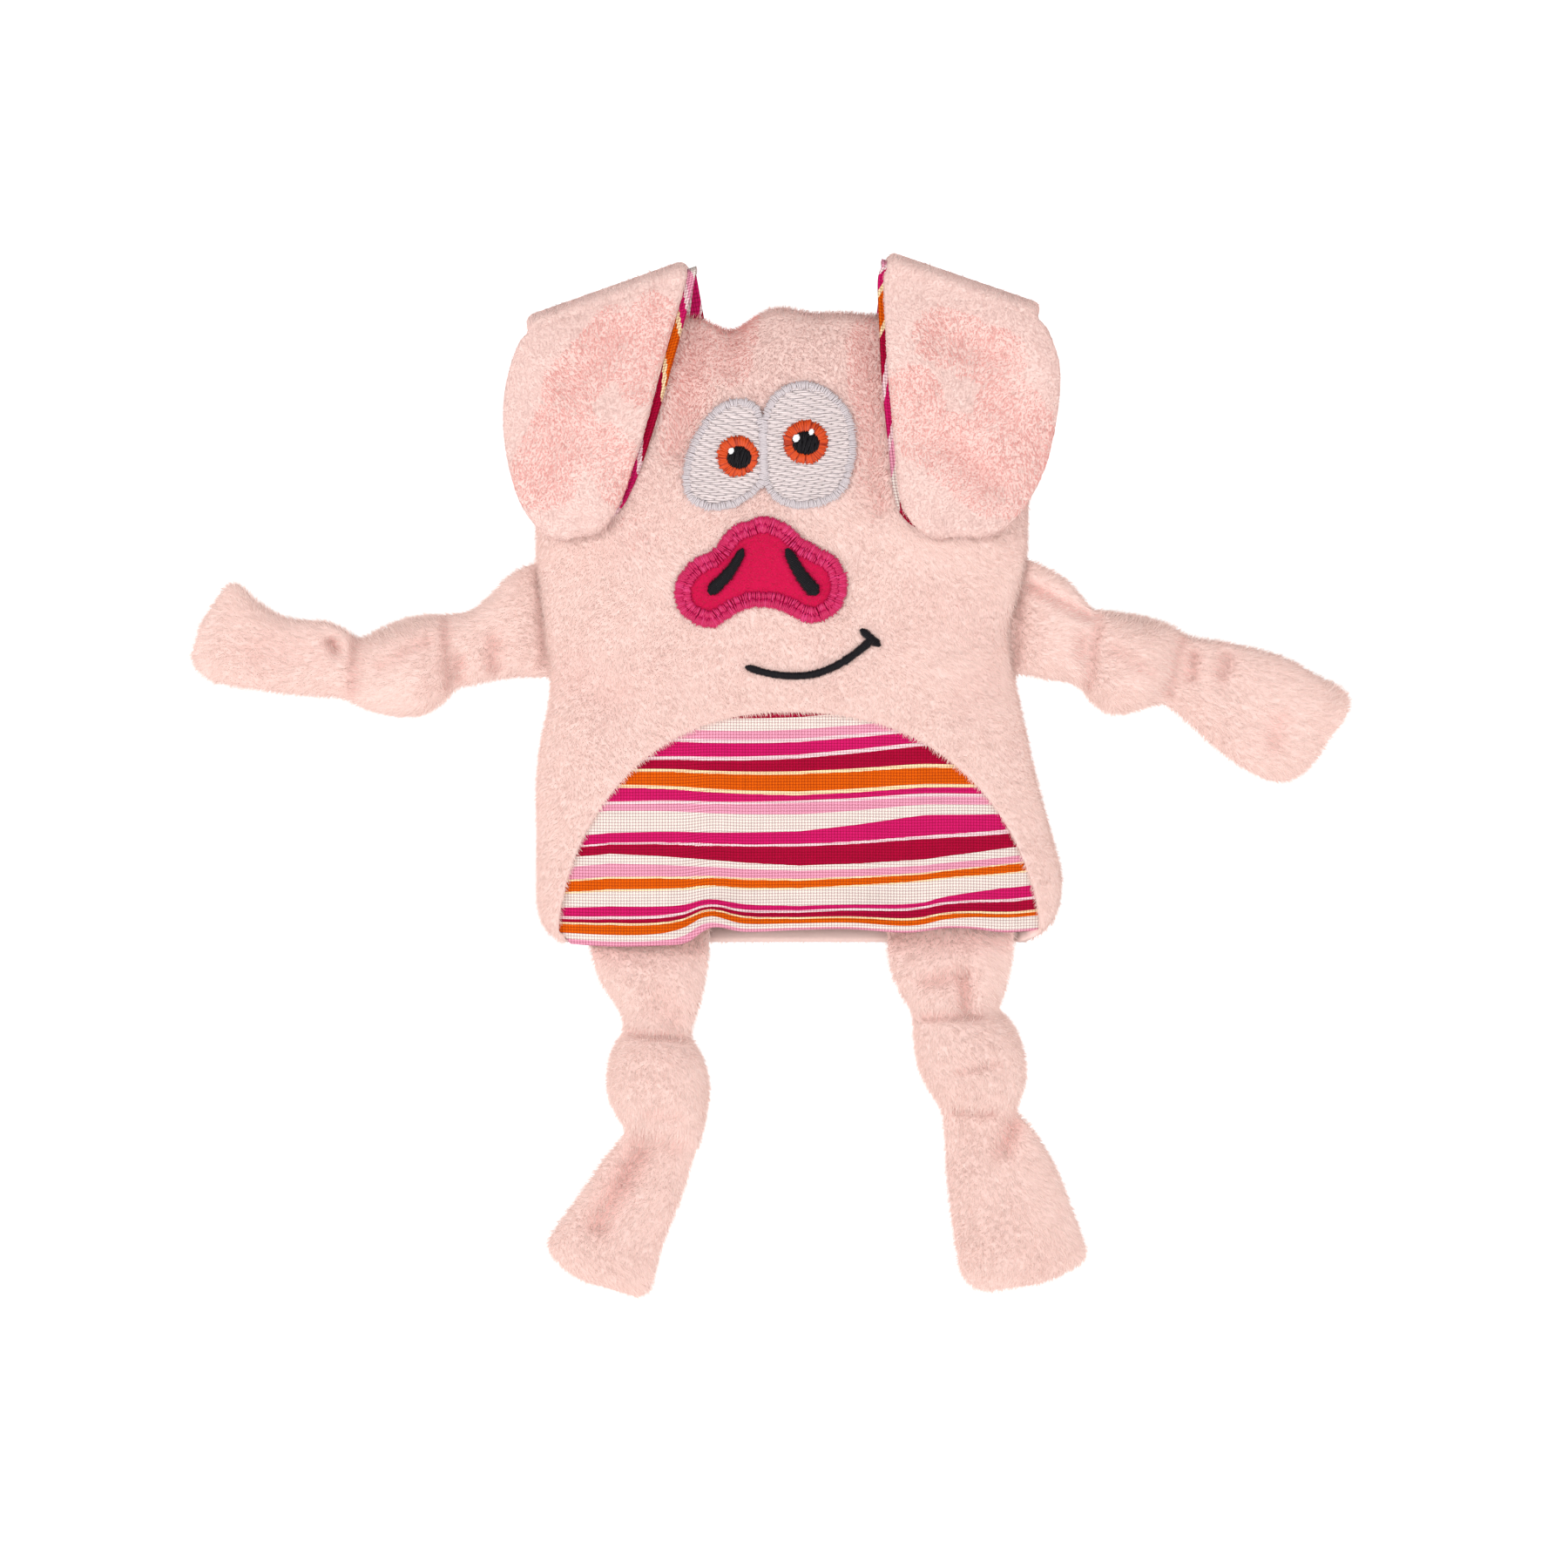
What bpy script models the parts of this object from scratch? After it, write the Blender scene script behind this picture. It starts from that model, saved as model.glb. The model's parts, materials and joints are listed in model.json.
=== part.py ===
"""A flat hand puppet of a pig: a plush pouch open at its hem, with folded ears, an embroidered
face, a striped belly panel, and four plush strips for limbs, each tied in one knot.

Metres, +Z up, -Y is the front. The origin is in the hand opening, at the hem, under the middle
of the head. Left and right are as seen from the front. Sizes below are in millimetres.
"""

import math

import bmesh
import bpy
import numpy as np
from mathutils import Vector

MM = 0.001
GAP = 0.3  # clear space between pieces that touch on the real puppet

# The pouch
PLUSH = 2.2  # plush with its pile pressed down
SEAM_Y = 1.0  # plane of the side seams
FRONT_RISE = 10.0  # how far the front swells out of its rim
BACK_RISE = 7.5
BACK_FLAT_Y = 8.5  # the back is pressed flat at this depth
POUCH_TOP = 132.4
HEM_Z = -1.5
WIDEST_Z = 45.0  # below this the pouch stays open towards the hem
NOD_Z = 50.6  # the hand inside bends the pouch here, and the head nods
NOD_CLEAR = 0.3  # the nod's axis runs this far in front of the plush
# height, left edge, right edge
POUCH_EDGES = [
    (-1.5, -47.7, 52.0),
    (2, -50.9, 56.2),
    (6, -52.2, 58.6),
    (13, -52.2, 59.0),
    (22, -52.4, 56.6),
    (32, -52.9, 54.0),
    (41, -52.2, 52.5),
    (52, -49.8, 50.6),
    (57, -49.8, 49.2),
    (65, -51.2, 47.9),
    (72, -52.2, 49.6),
    (80, -52.7, 51.4),
    (95, -52.7, 52.0),
    (110, -52.2, 51.8),
    (120, -51.4, 51.0),
    (127, -49.4, 49.4),
    (130.6, -45.5, 45.5),
    (POUCH_TOP, -39.0, 39.0),
]
TOP_DIP = (-11.0, 6.0, 3.0)  # a pucker in the top seam: place, half width, depth

# The belly panel, a woven cotton arch let into the front
BELLY = 1.3
ARCH_TOP = 47.3
ARCH_MIDDLE = 1.5
ARCH_LEFT, ARCH_RIGHT = 49.5, 53.0
ARCH_POWER = 1.75
ARCH_ROOT = 0.43
HEM_STEP = (-19.0, 1.6, 2.6)  # the hem drops left of here: place, softness, depth

# Lining and embroidery
LINING = 0.7
BACKING = 0.5
THREAD = 0.8
LINING_INSET = 8.5
LINING_HEM_Z = 1.5

# Ears
EAR_PLUSH = 1.6
EAR_LINING = 0.6
EAR_CREASE_Y = -2.6
LEFT_CREASE = ((-20.9, 141.3), (-54.6, 130.0))
RIGHT_CREASE = ((23.1, 143.2), (54.0, 132.3))
# Each rung runs from the inner edge to the outer edge, crease first.
LEFT_EAR = [
    (-21.9, 139.9, -54.0, 129.0),
    (-23.1, 134.5, -57.0, 124.3),
    (-24.8, 126.2, -58.6, 118.8),
    (-26.5, 118.8, -59.4, 112.3),
    (-28.7, 110.4, -59.2, 105.8),
    (-30.9, 103.4, -58.1, 99.3),
    (-32.9, 96.9, -56.2, 93.2),
    (-35.0, 91.6, -54.2, 88.6),
    (-37.6, 87.7, -51.4, 85.8),
    (-41.6, 85.7, -47.2, 84.9),
]
RIGHT_EAR = [
    (22.4, 141.7, 54.4, 131.0),
    (21.6, 134.5, 57.5, 126.5),
    (21.5, 126.2, 58.6, 121.5),
    (21.8, 118.8, 57.9, 115.1),
    (22.6, 109.5, 57.2, 107.7),
    (23.5, 101.2, 55.5, 101.2),
    (24.2, 93.8, 53.1, 95.6),
    (25.3, 89.5, 50.3, 91.0),
    (28.1, 87.1, 47.2, 87.7),
    (32.9, 85.5, 41.6, 85.3),
]
# Each rung runs from the head seam up to the crease, inner end first.
LEFT_EAR_ROOT = [
    (-19.2, 134.4, -21.2, 140.4),
    (-28.0, 134.4, -30.5, 137.3),
    (-38.5, 133.6, -40.6, 134.4),
    (-46.0, 131.6, -47.6, 132.2),
]
RIGHT_EAR_ROOT = [
    (20.5, 134.4, 22.8, 142.4),
    (30.0, 134.4, 31.5, 139.4),
    (39.0, 133.8, 41.0, 136.2),
    (46.3, 131.8, 48.6, 133.4),
]

# Limbs: one rung is edge A (x, z), edge B (x, z), depth y of its middle, thickness.
# The ends next to a joint are drawn in, so that the rigid solids can turn there.
LIMBS = {
    "left_arm": {
        "upper": [
            (-54.6, 78.6, -52.0, 55.2, 1.0, 3.0),
            (-58.0, 76.4, -56.2, 54.6, 1.0, 4.2),
            (-62.4, 72.8, -61.8, 54.3, 1.0, 6.2),
            (-66.0, 68.0, -66.0, 53.4, 1.0, 6.2),
            (-68.8, 63.5, -68.8, 56.5, 1.0, 5.0),
        ],
        "knot": [
            (-73.2, 63.5, -73.2, 56.5, 1.0, 6.0),
            (-76.0, 67.6, -76.0, 48.6, 1.0, 11.5),
            (-80.6, 66.8, -80.2, 46.7, 1.0, 13.6),
            (-85.6, 64.6, -85.0, 47.1, 1.0, 12.5),
            (-88.6, 63.4, -88.2, 48.2, 1.0, 8.0),
            (-90.8, 62.8, -90.6, 49.4, 1.0, 3.2),
        ],
        "end": [
            (-93.8, 64.6, -93.8, 50.4, 1.0, 3.2),
            (-97.2, 66.5, -97.6, 50.7, 1.0, 6.2),
            (-102.6, 67.0, -103.4, 51.1, 1.0, 6.8),
            (-107.6, 68.2, -110.0, 51.8, 1.0, 6.8),
            (-112.4, 71.2, -116.2, 52.7, 1.0, 6.6),
            (-116.8, 73.4, -121.2, 53.8, 1.0, 6.0),
            (-121.4, 70.6, -124.6, 56.0, 1.0, 5.0),
            (-124.8, 66.2, -126.8, 59.4, 1.0, 3.2),
        ],
    },
    "right_arm": {
        "upper": [
            (52.9, 79.2, 51.9, 55.8, 1.0, 3.0),
            (55.9, 77.8, 55.6, 54.6, 1.0, 4.2),
            (59.4, 73.8, 58.4, 54.0, 1.0, 6.2),
            (61.2, 69.4, 60.0, 54.2, 1.0, 6.2),
            (63.0, 64.6, 62.0, 57.6, 1.0, 5.0),
        ],
        "knot": [
            (67.3, 64.2, 66.3, 57.2, 1.0, 6.0),
            (71.0, 68.4, 67.8, 48.6, 1.0, 11.5),
            (75.8, 67.5, 72.0, 47.3, 1.0, 13.6),
            (79.6, 66.2, 75.6, 48.0, 1.0, 12.5),
            (82.2, 65.0, 78.0, 49.0, 1.0, 8.0),
            (84.2, 63.8, 79.8, 49.9, 1.0, 3.2),
        ],
        "end": [
            (87.2, 62.6, 82.6, 48.6, 1.0, 3.2),
            (91.6, 62.3, 85.8, 45.6, 1.0, 6.2),
            (98.2, 61.0, 90.7, 40.7, 1.0, 6.8),
            (105.2, 58.8, 96.0, 36.2, 1.0, 6.8),
            (112.4, 55.9, 102.2, 33.0, 1.0, 6.4),
            (118.8, 52.6, 107.6, 32.4, 1.0, 5.4),
            (120.6, 49.6, 111.4, 34.4, 1.0, 3.4),
        ],
    },
    "left_leg": {
        "upper": [
            (-40.8, -5.0, -16.0, -5.0, -0.8, 2.6),
            (-39.6, -8.2, -16.6, -8.2, -0.7, 4.2),
            (-37.4, -12.4, -17.6, -12.4, -0.5, 6.0),
            (-33.8, -16.8, -20.4, -16.8, -0.2, 6.2),
            (-30.6, -19.4, -23.6, -19.4, 0.0, 5.0),
        ],
        "knot": [
            (-30.4, -23.8, -23.4, -23.8, 0.0, 6.0),
            (-37.0, -27.4, -17.0, -27.4, 0.0, 12.0),
            (-37.4, -32.4, -16.2, -32.4, 0.0, 14.0),
            (-36.2, -37.0, -16.3, -37.4, 0.0, 12.0),
            (-34.6, -39.8, -17.0, -40.6, 0.0, 7.6),
            (-33.4, -41.6, -17.8, -43.0, 0.0, 3.2),
        ],
        "end": [
            (-34.6, -44.4, -19.0, -46.0, 0.0, 3.2),
            (-37.6, -47.4, -19.8, -50.4, 0.0, 6.2),
            (-41.4, -52.4, -21.3, -55.5, 0.0, 6.8),
            (-45.0, -58.0, -23.9, -61.2, 0.0, 6.8),
            (-48.3, -63.4, -26.2, -67.2, 0.0, 6.6),
            (-50.3, -67.9, -26.8, -72.4, 0.0, 6.0),
            (-47.2, -71.2, -28.4, -76.2, 0.0, 5.0),
            (-42.4, -74.6, -32.0, -77.8, 0.0, 3.2),
        ],
    },
    "right_leg": {
        "upper": [
            (22.4, -2.5, 49.0, -2.5, -0.8, 2.6),
            (23.0, -5.8, 48.6, -5.8, -0.7, 4.2),
            (24.6, -9.4, 47.6, -9.4, -0.5, 6.0),
            (28.6, -12.8, 45.2, -12.8, -0.2, 6.2),
            (33.4, -14.6, 40.4, -14.6, 0.0, 5.0),
        ],
        "knot": [
            (33.6, -19.0, 40.6, -19.0, 0.0, 6.0),
            (28.0, -22.2, 49.6, -22.2, 0.0, 12.0),
            (28.9, -26.8, 51.0, -26.8, 0.0, 14.0),
            (30.4, -31.2, 51.0, -31.2, 0.0, 12.0),
            (32.0, -34.0, 50.4, -34.2, 0.0, 7.6),
            (33.0, -36.2, 49.6, -36.4, 0.0, 3.2),
        ],
        "end": [
            (34.2, -39.4, 50.2, -39.4, 0.0, 3.2),
            (34.6, -44.2, 53.3, -43.6, 0.0, 6.2),
            (35.0, -51.4, 57.2, -50.5, 0.0, 6.8),
            (35.9, -59.8, 61.0, -58.5, 0.0, 6.8),
            (36.9, -67.2, 63.6, -65.0, 0.0, 6.6),
            (38.1, -72.8, 64.6, -68.9, 0.0, 6.0),
            (41.6, -75.9, 60.1, -72.4, 0.0, 4.6),
            (46.3, -76.6, 54.6, -74.8, 0.0, 3.2),
        ],
    },
}
TAB_TOP = 6.0
LEG_TABS = {"left_leg_tab": (-40.8, -16.0, -3.2), "right_leg_tab": (22.4, 49.0, -0.7)}

# Face, (x, z) points
LEFT_EYE = [
    (-3.6, 94.6), (-3.9, 103.0), (-4.1, 111.0), (-5.2, 112.7), (-8.3, 113.6), (-12.0, 113.0),
    (-15.7, 110.4), (-18.5, 106.7), (-20.7, 101.2), (-21.3, 98.4), (-20.3, 94.7), (-17.6, 91.6),
    (-13.9, 90.1), (-9.3, 91.0), (-5.6, 92.9),
]
RIGHT_EYE = [
    (15.3, 102.1), (14.4, 108.6), (12.0, 112.9), (8.3, 116.2), (4.6, 117.3), (0.9, 116.4),
    (-1.9, 114.1), (-3.4, 111.2), (-3.2, 103.0), (-2.9, 94.7), (0.0, 91.0), (3.7, 89.9),
    (8.3, 91.0), (12.0, 93.8), (14.4, 97.5),
]
IRISES = {"left_iris": (-9.8, 101.5, 4.5), "right_iris": (4.5, 104.4, 4.8)}
PUPIL_SHARE = 0.56
SNOUT = [
    (-4.6, 88.2), (-9.3, 87.0), (-12.0, 84.5), (-14.8, 81.8), (-18.5, 79.0), (-21.3, 77.1),
    (-22.8, 73.4), (-22.2, 68.8), (-19.4, 66.0), (-16.3, 65.1), (-13.0, 66.0), (-10.2, 68.2),
    (-6.5, 69.4), (-2.8, 69.2), (0.9, 67.9), (4.6, 66.4), (8.3, 66.6), (12.0, 68.8),
    (13.1, 73.4), (12.6, 77.1), (10.2, 80.8), (6.5, 82.7), (2.8, 85.1), (0.0, 87.3),
]
SNOUT_MIDDLE = (-4.8, 76.5)
SNOUT_BORDER = 3.7
# Each rung crosses the stitched line: one side, other side.
NOSTRILS = {
    "left_nostril": [
        (-10.0, 82.0, -7.8, 81.0), (-11.6, 79.2, -9.2, 77.9),
        (-14.0, 76.0, -11.6, 74.4), (-18.0, 73.6, -14.6, 71.0),
    ],
    "right_nostril": [
        (-0.4, 82.0, 1.8, 81.8), (1.4, 78.6, 3.8, 77.6),
        (3.6, 75.2, 6.4, 74.0), (6.2, 72.0, 8.6, 72.6),
    ],
}
MOUTH_WIDTH = 1.6
MOUTH = [(-7.8, 56.3), (-2.8, 55.0), (2.8, 54.9), (8.3, 56.3), (13.0, 58.5), (16.7, 61.2), (18.0, 62.6)]
MOUTH_CORNER = [(17.2, 65.8), (19.3, 64.0), (21.5, 62.2)]

COLOURS = {
    "plush": (0.89, 0.63, 0.56),
    "stripes": (0.72, 0.06, 0.25),
    "lining": (0.86, 0.74, 0.70),
    "backing": (0.85, 0.85, 0.83),
    "white_thread": (0.80, 0.76, 0.78),
    "orange_thread": (0.72, 0.10, 0.01),
    "black_thread": (0.01, 0.01, 0.012),
    "pink_felt": (0.70, 0.003, 0.08),
    "pink_thread": (0.55, 0.02, 0.12),
}


def clear_scene():
    for old in list(bpy.data.objects):
        bpy.data.objects.remove(old)


def material(name):
    """The fabric or thread of that name, made once."""
    found = bpy.data.materials.get(name)
    if found:
        return found
    made = bpy.data.materials.new(name)
    made.use_nodes = True
    shader = made.node_tree.nodes["Principled BSDF"]
    shader.inputs["Base Color"].default_value = (*COLOURS[name], 1)
    shader.inputs["Roughness"].default_value = 0.9
    shader.inputs["Metallic"].default_value = 0.0
    return made


def joint_empty(name, place, parent=None):
    """An empty at a joint, in millimetres, for the pieces that turn there."""
    empty = bpy.data.objects.new(name, None)
    empty.empty_display_size = 5 * MM
    bpy.context.scene.collection.objects.link(empty)
    empty.parent = parent
    start = parent.matrix_world.translation if parent else Vector()
    empty.location = Vector(place) * MM - start
    bpy.context.view_layer.update()
    return empty


def add_object(name, bm, finish, parent=None):
    """Turns a bmesh in millimetres into a named object, with its mesh about its parent's place."""
    bmesh.ops.recalc_face_normals(bm, faces=bm.faces)
    bmesh.ops.scale(bm, vec=(MM, MM, MM), verts=bm.verts)
    if parent:
        bmesh.ops.translate(bm, vec=-parent.matrix_world.translation, verts=bm.verts)
    mesh = bpy.data.meshes.new(name)
    bm.to_mesh(mesh)
    bm.free()
    mesh.shade_smooth()
    mesh.set_sharp_from_angle(angle=math.radians(50))
    mesh.materials.append(material(finish))
    made = bpy.data.objects.new(name, mesh)
    made.parent = parent
    bpy.context.scene.collection.objects.link(made)
    return made


def spline(rows, count, closed=False):
    """Rows of numbers, read at evenly spaced places of the Catmull-Rom curve through them.
    With closed, the curve goes on from the last row to the first."""
    rows = np.array(rows, float)
    if closed:
        padded = np.vstack([rows[-1], rows, rows[0], rows[1]])
        at = np.linspace(0, len(rows), count, endpoint=False)
        step = at.astype(int)
    else:
        padded = np.vstack([2 * rows[0] - rows[1], rows, 2 * rows[-1] - rows[-2]])
        at = np.linspace(0, len(rows) - 1, count)
        step = np.minimum(at.astype(int), len(rows) - 2)
    t = (at - step)[:, None]
    a, b, c, d = (padded[step + k] for k in range(4))
    return 0.5 * (2 * b + (c - a) * t + (2 * a - 5 * b + 4 * c - d) * t**2 + (3 * b - a - 3 * c + d) * t**3)


def ladder(rungs, rows, columns):
    """A grid of (x, z) points between two edges: each rung is (x, z) on one and (x, z) on the other."""
    edges = spline(rungs, rows)
    share = np.linspace(0, 1, columns)[None, :, None]
    return edges[:, None, 0:2] * (1 - share) + edges[:, None, 2:4] * share


def panel(name, plan, front, back, finish, parent=None, closed=False):
    """A sheet over a grid of (x, z) points, from depth front(x, z) to depth back(x, z).
    With closed, the last row of the grid joins the first."""
    rows, columns = len(plan), len(plan[0])
    bm = bmesh.new()
    grid = [[bm.verts.new((x, front(x, z), z)) for x, z in row] for row in plan]
    for i in range(rows if closed else rows - 1):
        for j in range(columns - 1):
            after = (i + 1) % rows
            bm.faces.new((grid[i][j], grid[i][j + 1], grid[after][j + 1], grid[after][j]))
    made = bmesh.ops.extrude_face_region(bm, geom=list(bm.faces), use_keep_orig=True)
    for vert in made["geom"]:
        if isinstance(vert, bmesh.types.BMVert):
            vert.co.y = back(vert.co.x, vert.co.z)
    return add_object(name, bm, finish, parent)


def strip(name, rungs, finish, parent, count, sides=14):
    """A flat, soft tube: an oval carried along the rungs, and closed at both ends."""
    bm = bmesh.new()
    rings = []
    for ax, az, bx, bz, y, thick in spline(rungs, count):
        ring = []
        for k in range(sides):
            turn = 2 * math.pi * k / sides
            wide = math.copysign(abs(math.cos(turn)) ** 0.7, math.cos(turn))
            deep = math.copysign(abs(math.sin(turn)) ** 0.8, math.sin(turn))
            x = (ax + bx) / 2 + (bx - ax) / 2 * wide
            z = (az + bz) / 2 + (bz - az) / 2 * wide
            ring.append(bm.verts.new((x, y + thick / 2 * deep, z)))
        rings.append(ring)
    for first, second in zip(rings, rings[1:]):
        for k in range(sides):
            after = (k + 1) % sides
            bm.faces.new((first[k], first[after], second[after], second[k]))
    bm.faces.new(rings[0])
    bm.faces.new(rings[-1])
    return add_object(name, bm, finish, parent)


def edges_at(z):
    """The pouch's left and right edge at a height."""
    heights = [row[0] for row in POUCH_EDGES]
    left = np.interp(z, heights, [row[1] for row in POUCH_EDGES])
    right = np.interp(z, heights, [row[2] for row in POUCH_EDGES])
    return left, right


def swell(x, z):
    """How full the pouch is at a point: 1 in the middle, 0 at its seams."""
    left, right = edges_at(z)
    across = min(abs(2 * x - left - right) / (right - left), 1)
    if z > WIDEST_Z:
        rise = min((z - WIDEST_Z) / (POUCH_TOP - WIDEST_Z), 1)
        up = (1 - rise**3) ** 0.6
    else:
        up = 1 - 0.12 * ((WIDEST_Z - z) / WIDEST_Z) ** 2
    return (1 - across**2.4) ** 0.55 * up


def front_outer(x, z):
    return SEAM_Y - GAP / 2 - PLUSH - FRONT_RISE * swell(x, z)


def front_inner(x, z):
    return front_outer(x, z) + PLUSH


def back_outer(x, z):
    return min(SEAM_Y + GAP / 2 + PLUSH + BACK_RISE * swell(x, z), BACK_FLAT_Y)


def back_inner(x, z):
    return back_outer(x, z) - PLUSH


def stack(surface, near, far):
    """Two depth functions, near and far millimetres behind a surface."""
    return (lambda x, z: surface(x, z) + near), (lambda x, z: surface(x, z) + far)


def pouch_plan(heights, columns=15):
    """A grid of (x, z) points over the pouch. Its outer columns lie where the lining stops."""
    middle, width, depth = TOP_DIP
    plan = []
    for z in heights:
        left, right = edges_at(z)
        near_top = max(0, (z - 110) / (POUCH_TOP - 110)) ** 2
        within = np.linspace(left + LINING_INSET, right - LINING_INSET, columns - 2)
        row = []
        for x in (left, *within, right):
            sink = depth * math.exp(-(((x - middle) / width) ** 2))
            row.append((x, z - sink * near_top))
        plan.append(row)
    return plan


def torso_heights():
    return [HEM_Z, *np.linspace(LINING_HEM_Z, NOD_Z - GAP / 2, 7)]


def head_heights():
    return [*np.linspace(NOD_Z + GAP / 2, POUCH_TOP - LINING_INSET, 11), POUCH_TOP]


def hem(x):
    """Height of the belly panel's lower edge: a soft step down, and gentle waves."""
    place, soft, depth = HEM_STEP
    step = 1 / (1 + math.exp((x - place) / soft))
    return 1.4 + 0.03 * x + 0.5 * math.sin(x / 5.5) - depth * step


def arch_half(z):
    """The arch's width at a height, as a share of its width at the hem."""
    return (1 - min(max(z, 0) / ARCH_TOP, 1) ** ARCH_POWER) ** ARCH_ROOT


def arch_plan(rows, columns, grow=0.0):
    """A grid of (x, z) points over the arch, from the hem up, each edge moved out by grow."""
    plan = []
    for share in np.sin(np.linspace(0, math.pi / 2, rows)):
        height = share * (ARCH_TOP - 0.15)
        half = arch_half(height)
        row = []
        for x in np.linspace(-ARCH_LEFT * half - grow, ARCH_RIGHT * half + grow, columns):
            low = hem(ARCH_MIDDLE + x)
            row.append((ARCH_MIDDLE + x, low + (height + grow * share - low * share)))
        plan.append(row)
    return plan


def arch_cutter():
    """The prism that cuts the arch out of the front panel."""
    plan = arch_plan(13, 2, grow=GAP)
    outline = [row[0] for row in plan] + [row[-1] for row in reversed(plan)]
    outline = [(outline[0][0], -8.0)] + outline + [(outline[-1][0], -8.0)]
    bm = bmesh.new()
    face = bm.faces.new([bm.verts.new((x, -20.0, z)) for x, z in outline])
    made = bmesh.ops.extrude_face_region(bm, geom=[face], use_keep_orig=True)
    verts = [v for v in made["geom"] if isinstance(v, bmesh.types.BMVert)]
    bmesh.ops.translate(bm, vec=(0, 40.0, 0), verts=verts)
    cutter = add_object("arch_cutter", bm, "plush")
    cutter.hide_render = True
    cutter.display_type = "WIRE"
    return cutter


def build_lining(part, plan, parent):
    """The two lining sheets behind a stretch of the pouch, on that stretch's own grid."""
    behind = GAP + BACKING + GAP
    panel(f"{part}_front_lining", plan, *stack(front_inner, behind, behind + LINING), "lining", parent)
    panel(f"{part}_back_lining", plan, *stack(back_inner, -GAP - LINING, -GAP), "lining", parent)


def build_torso():
    plan = pouch_plan(torso_heights())
    front = panel("torso_front", plan, front_outer, front_inner, "plush")
    cut = front.modifiers.new("arch", "BOOLEAN")
    cut.operation = "DIFFERENCE"
    cut.object = arch_cutter()
    belly_front, belly_back = stack(front_inner, -BELLY, 0)
    panel("belly_panel", arch_plan(10, 15), belly_front, belly_back, "stripes")
    panel("torso_back", plan, back_outer, back_inner, "plush")
    build_lining("torso", [row[1:-1] for row in plan[1:]], None)


def build_head(nod):
    plan = pouch_plan(head_heights())
    panel("head_front", plan, front_outer, front_inner, "plush", nod)
    panel("head_back", plan, back_outer, back_inner, "plush", nod)
    build_lining("head", [row[1:-1] for row in plan[:-1]], nod)
    face = [[(x, z) for x in np.linspace(-25, 23, 9)] for z in np.linspace(53, 119, 9)]
    panel("embroidery_backing", face, *stack(front_inner, GAP, GAP + BACKING), "backing", nod)


def ring_plan(inner, outer, columns=3):
    """A closed grid of (x, z) points between two loops of equal length."""
    shares = np.linspace(0, 1, columns)
    return [[tuple((1 - s) * np.array(a) + s * np.array(b)) for s in shares] for a, b in zip(inner, outer)]


def circle(x, z, radius, count):
    turns = [2 * math.pi * k / count for k in range(count)]
    return [(x + radius * math.cos(t), z + radius * math.sin(t)) for t in turns]


def toward(loop, centre):
    """Directions, as angles, from a centre to the points of a loop."""
    return [math.atan2(z - centre[1], x - centre[0]) for x, z in loop]


def stitched(name, plan, finish, nod, closed=False, level=0):
    """A thin pad of thread or felt on the front of the head. Level 1 lies on top of level 0."""
    near = -GAP - THREAD - level * (GAP + THREAD)
    return panel(name, plan, *stack(front_outer, near, near + THREAD), finish, nod, closed)


def disc_plan(x, z, radius):
    """A square grid of points pulled out to a circle."""
    plan = []
    for v in np.linspace(-1, 1, 5):
        row = []
        for u in np.linspace(-1, 1, 5):
            reach = max(abs(u), abs(v)) / max(math.hypot(u, v), 1e-9)
            row.append((x + radius * u * reach, z + radius * v * reach))
        plan.append(row)
    return plan


def build_eyes(nod):
    for name, points, iris in (
        ("left_eye_white", LEFT_EYE, "left_iris"),
        ("right_eye_white", RIGHT_EYE, "right_iris"),
    ):
        outline = spline(points, 30, closed=True)
        x, z, radius = IRISES[iris]
        inner = [
            (x + (radius + GAP) * math.cos(t), z + (radius + GAP) * math.sin(t))
            for t in toward(outline, (x, z))
        ]
        stitched(name, ring_plan(inner, outline), "white_thread", nod, closed=True)
        pupil = radius * PUPIL_SHARE
        ring = ring_plan(circle(x, z, pupil + GAP, 16), circle(x, z, radius, 16), 2)
        stitched(iris, ring, "orange_thread", nod, closed=True)
        stitched(iris.replace("iris", "pupil"), disc_plan(x, z, pupil), "black_thread", nod)


def build_snout(nod):
    cx, cz = SNOUT_MIDDLE
    outline = np.array(SNOUT)
    away = outline - (cx, cz)
    reach = np.linalg.norm(away, axis=1, keepdims=True)
    inner = (cx, cz) + away * (reach - SNOUT_BORDER) / reach
    patch = (cx, cz) + away * (reach - SNOUT_BORDER - GAP) / reach
    heart = (cx, cz) + away * 0.12
    stitched("snout_border", ring_plan(inner, outline), "pink_thread", nod, closed=True)
    felt_patch("snout_patch", ring_plan(heart, patch, 4), nod)
    for name, rungs in NOSTRILS.items():
        stitched(name, ladder(rungs, 6, 3), "black_thread", nod, level=1)


def felt_patch(name, plan, nod):
    """A pad like stitched(), whose inner loop is closed by a face on each side."""
    near = -GAP - THREAD
    bm = bmesh.new()
    layers = []
    for depth in (near, near + THREAD):
        layers.append([[bm.verts.new((x, front_outer(x, z) + depth, z)) for x, z in row] for row in plan])
    count = len(plan)
    for grid in layers:
        for i in range(count):
            after = (i + 1) % count
            for j in range(len(plan[0]) - 1):
                bm.faces.new((grid[i][j], grid[i][j + 1], grid[after][j + 1], grid[after][j]))
        bm.faces.new([row[0] for row in grid])
    for i in range(count):
        after = (i + 1) % count
        bm.faces.new((layers[0][i][-1], layers[1][i][-1], layers[1][after][-1], layers[0][after][-1]))
    return add_object(name, bm, "pink_felt", nod)


def line_rungs(points, width):
    """Rungs across a line of (x, z) points."""
    line = np.array(points, float)
    along = np.gradient(line, axis=0)
    along /= np.linalg.norm(along, axis=1, keepdims=True)
    side = np.stack([-along[:, 1], along[:, 0]], axis=1) * width / 2
    return np.hstack([line + side, line - side])


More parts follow.
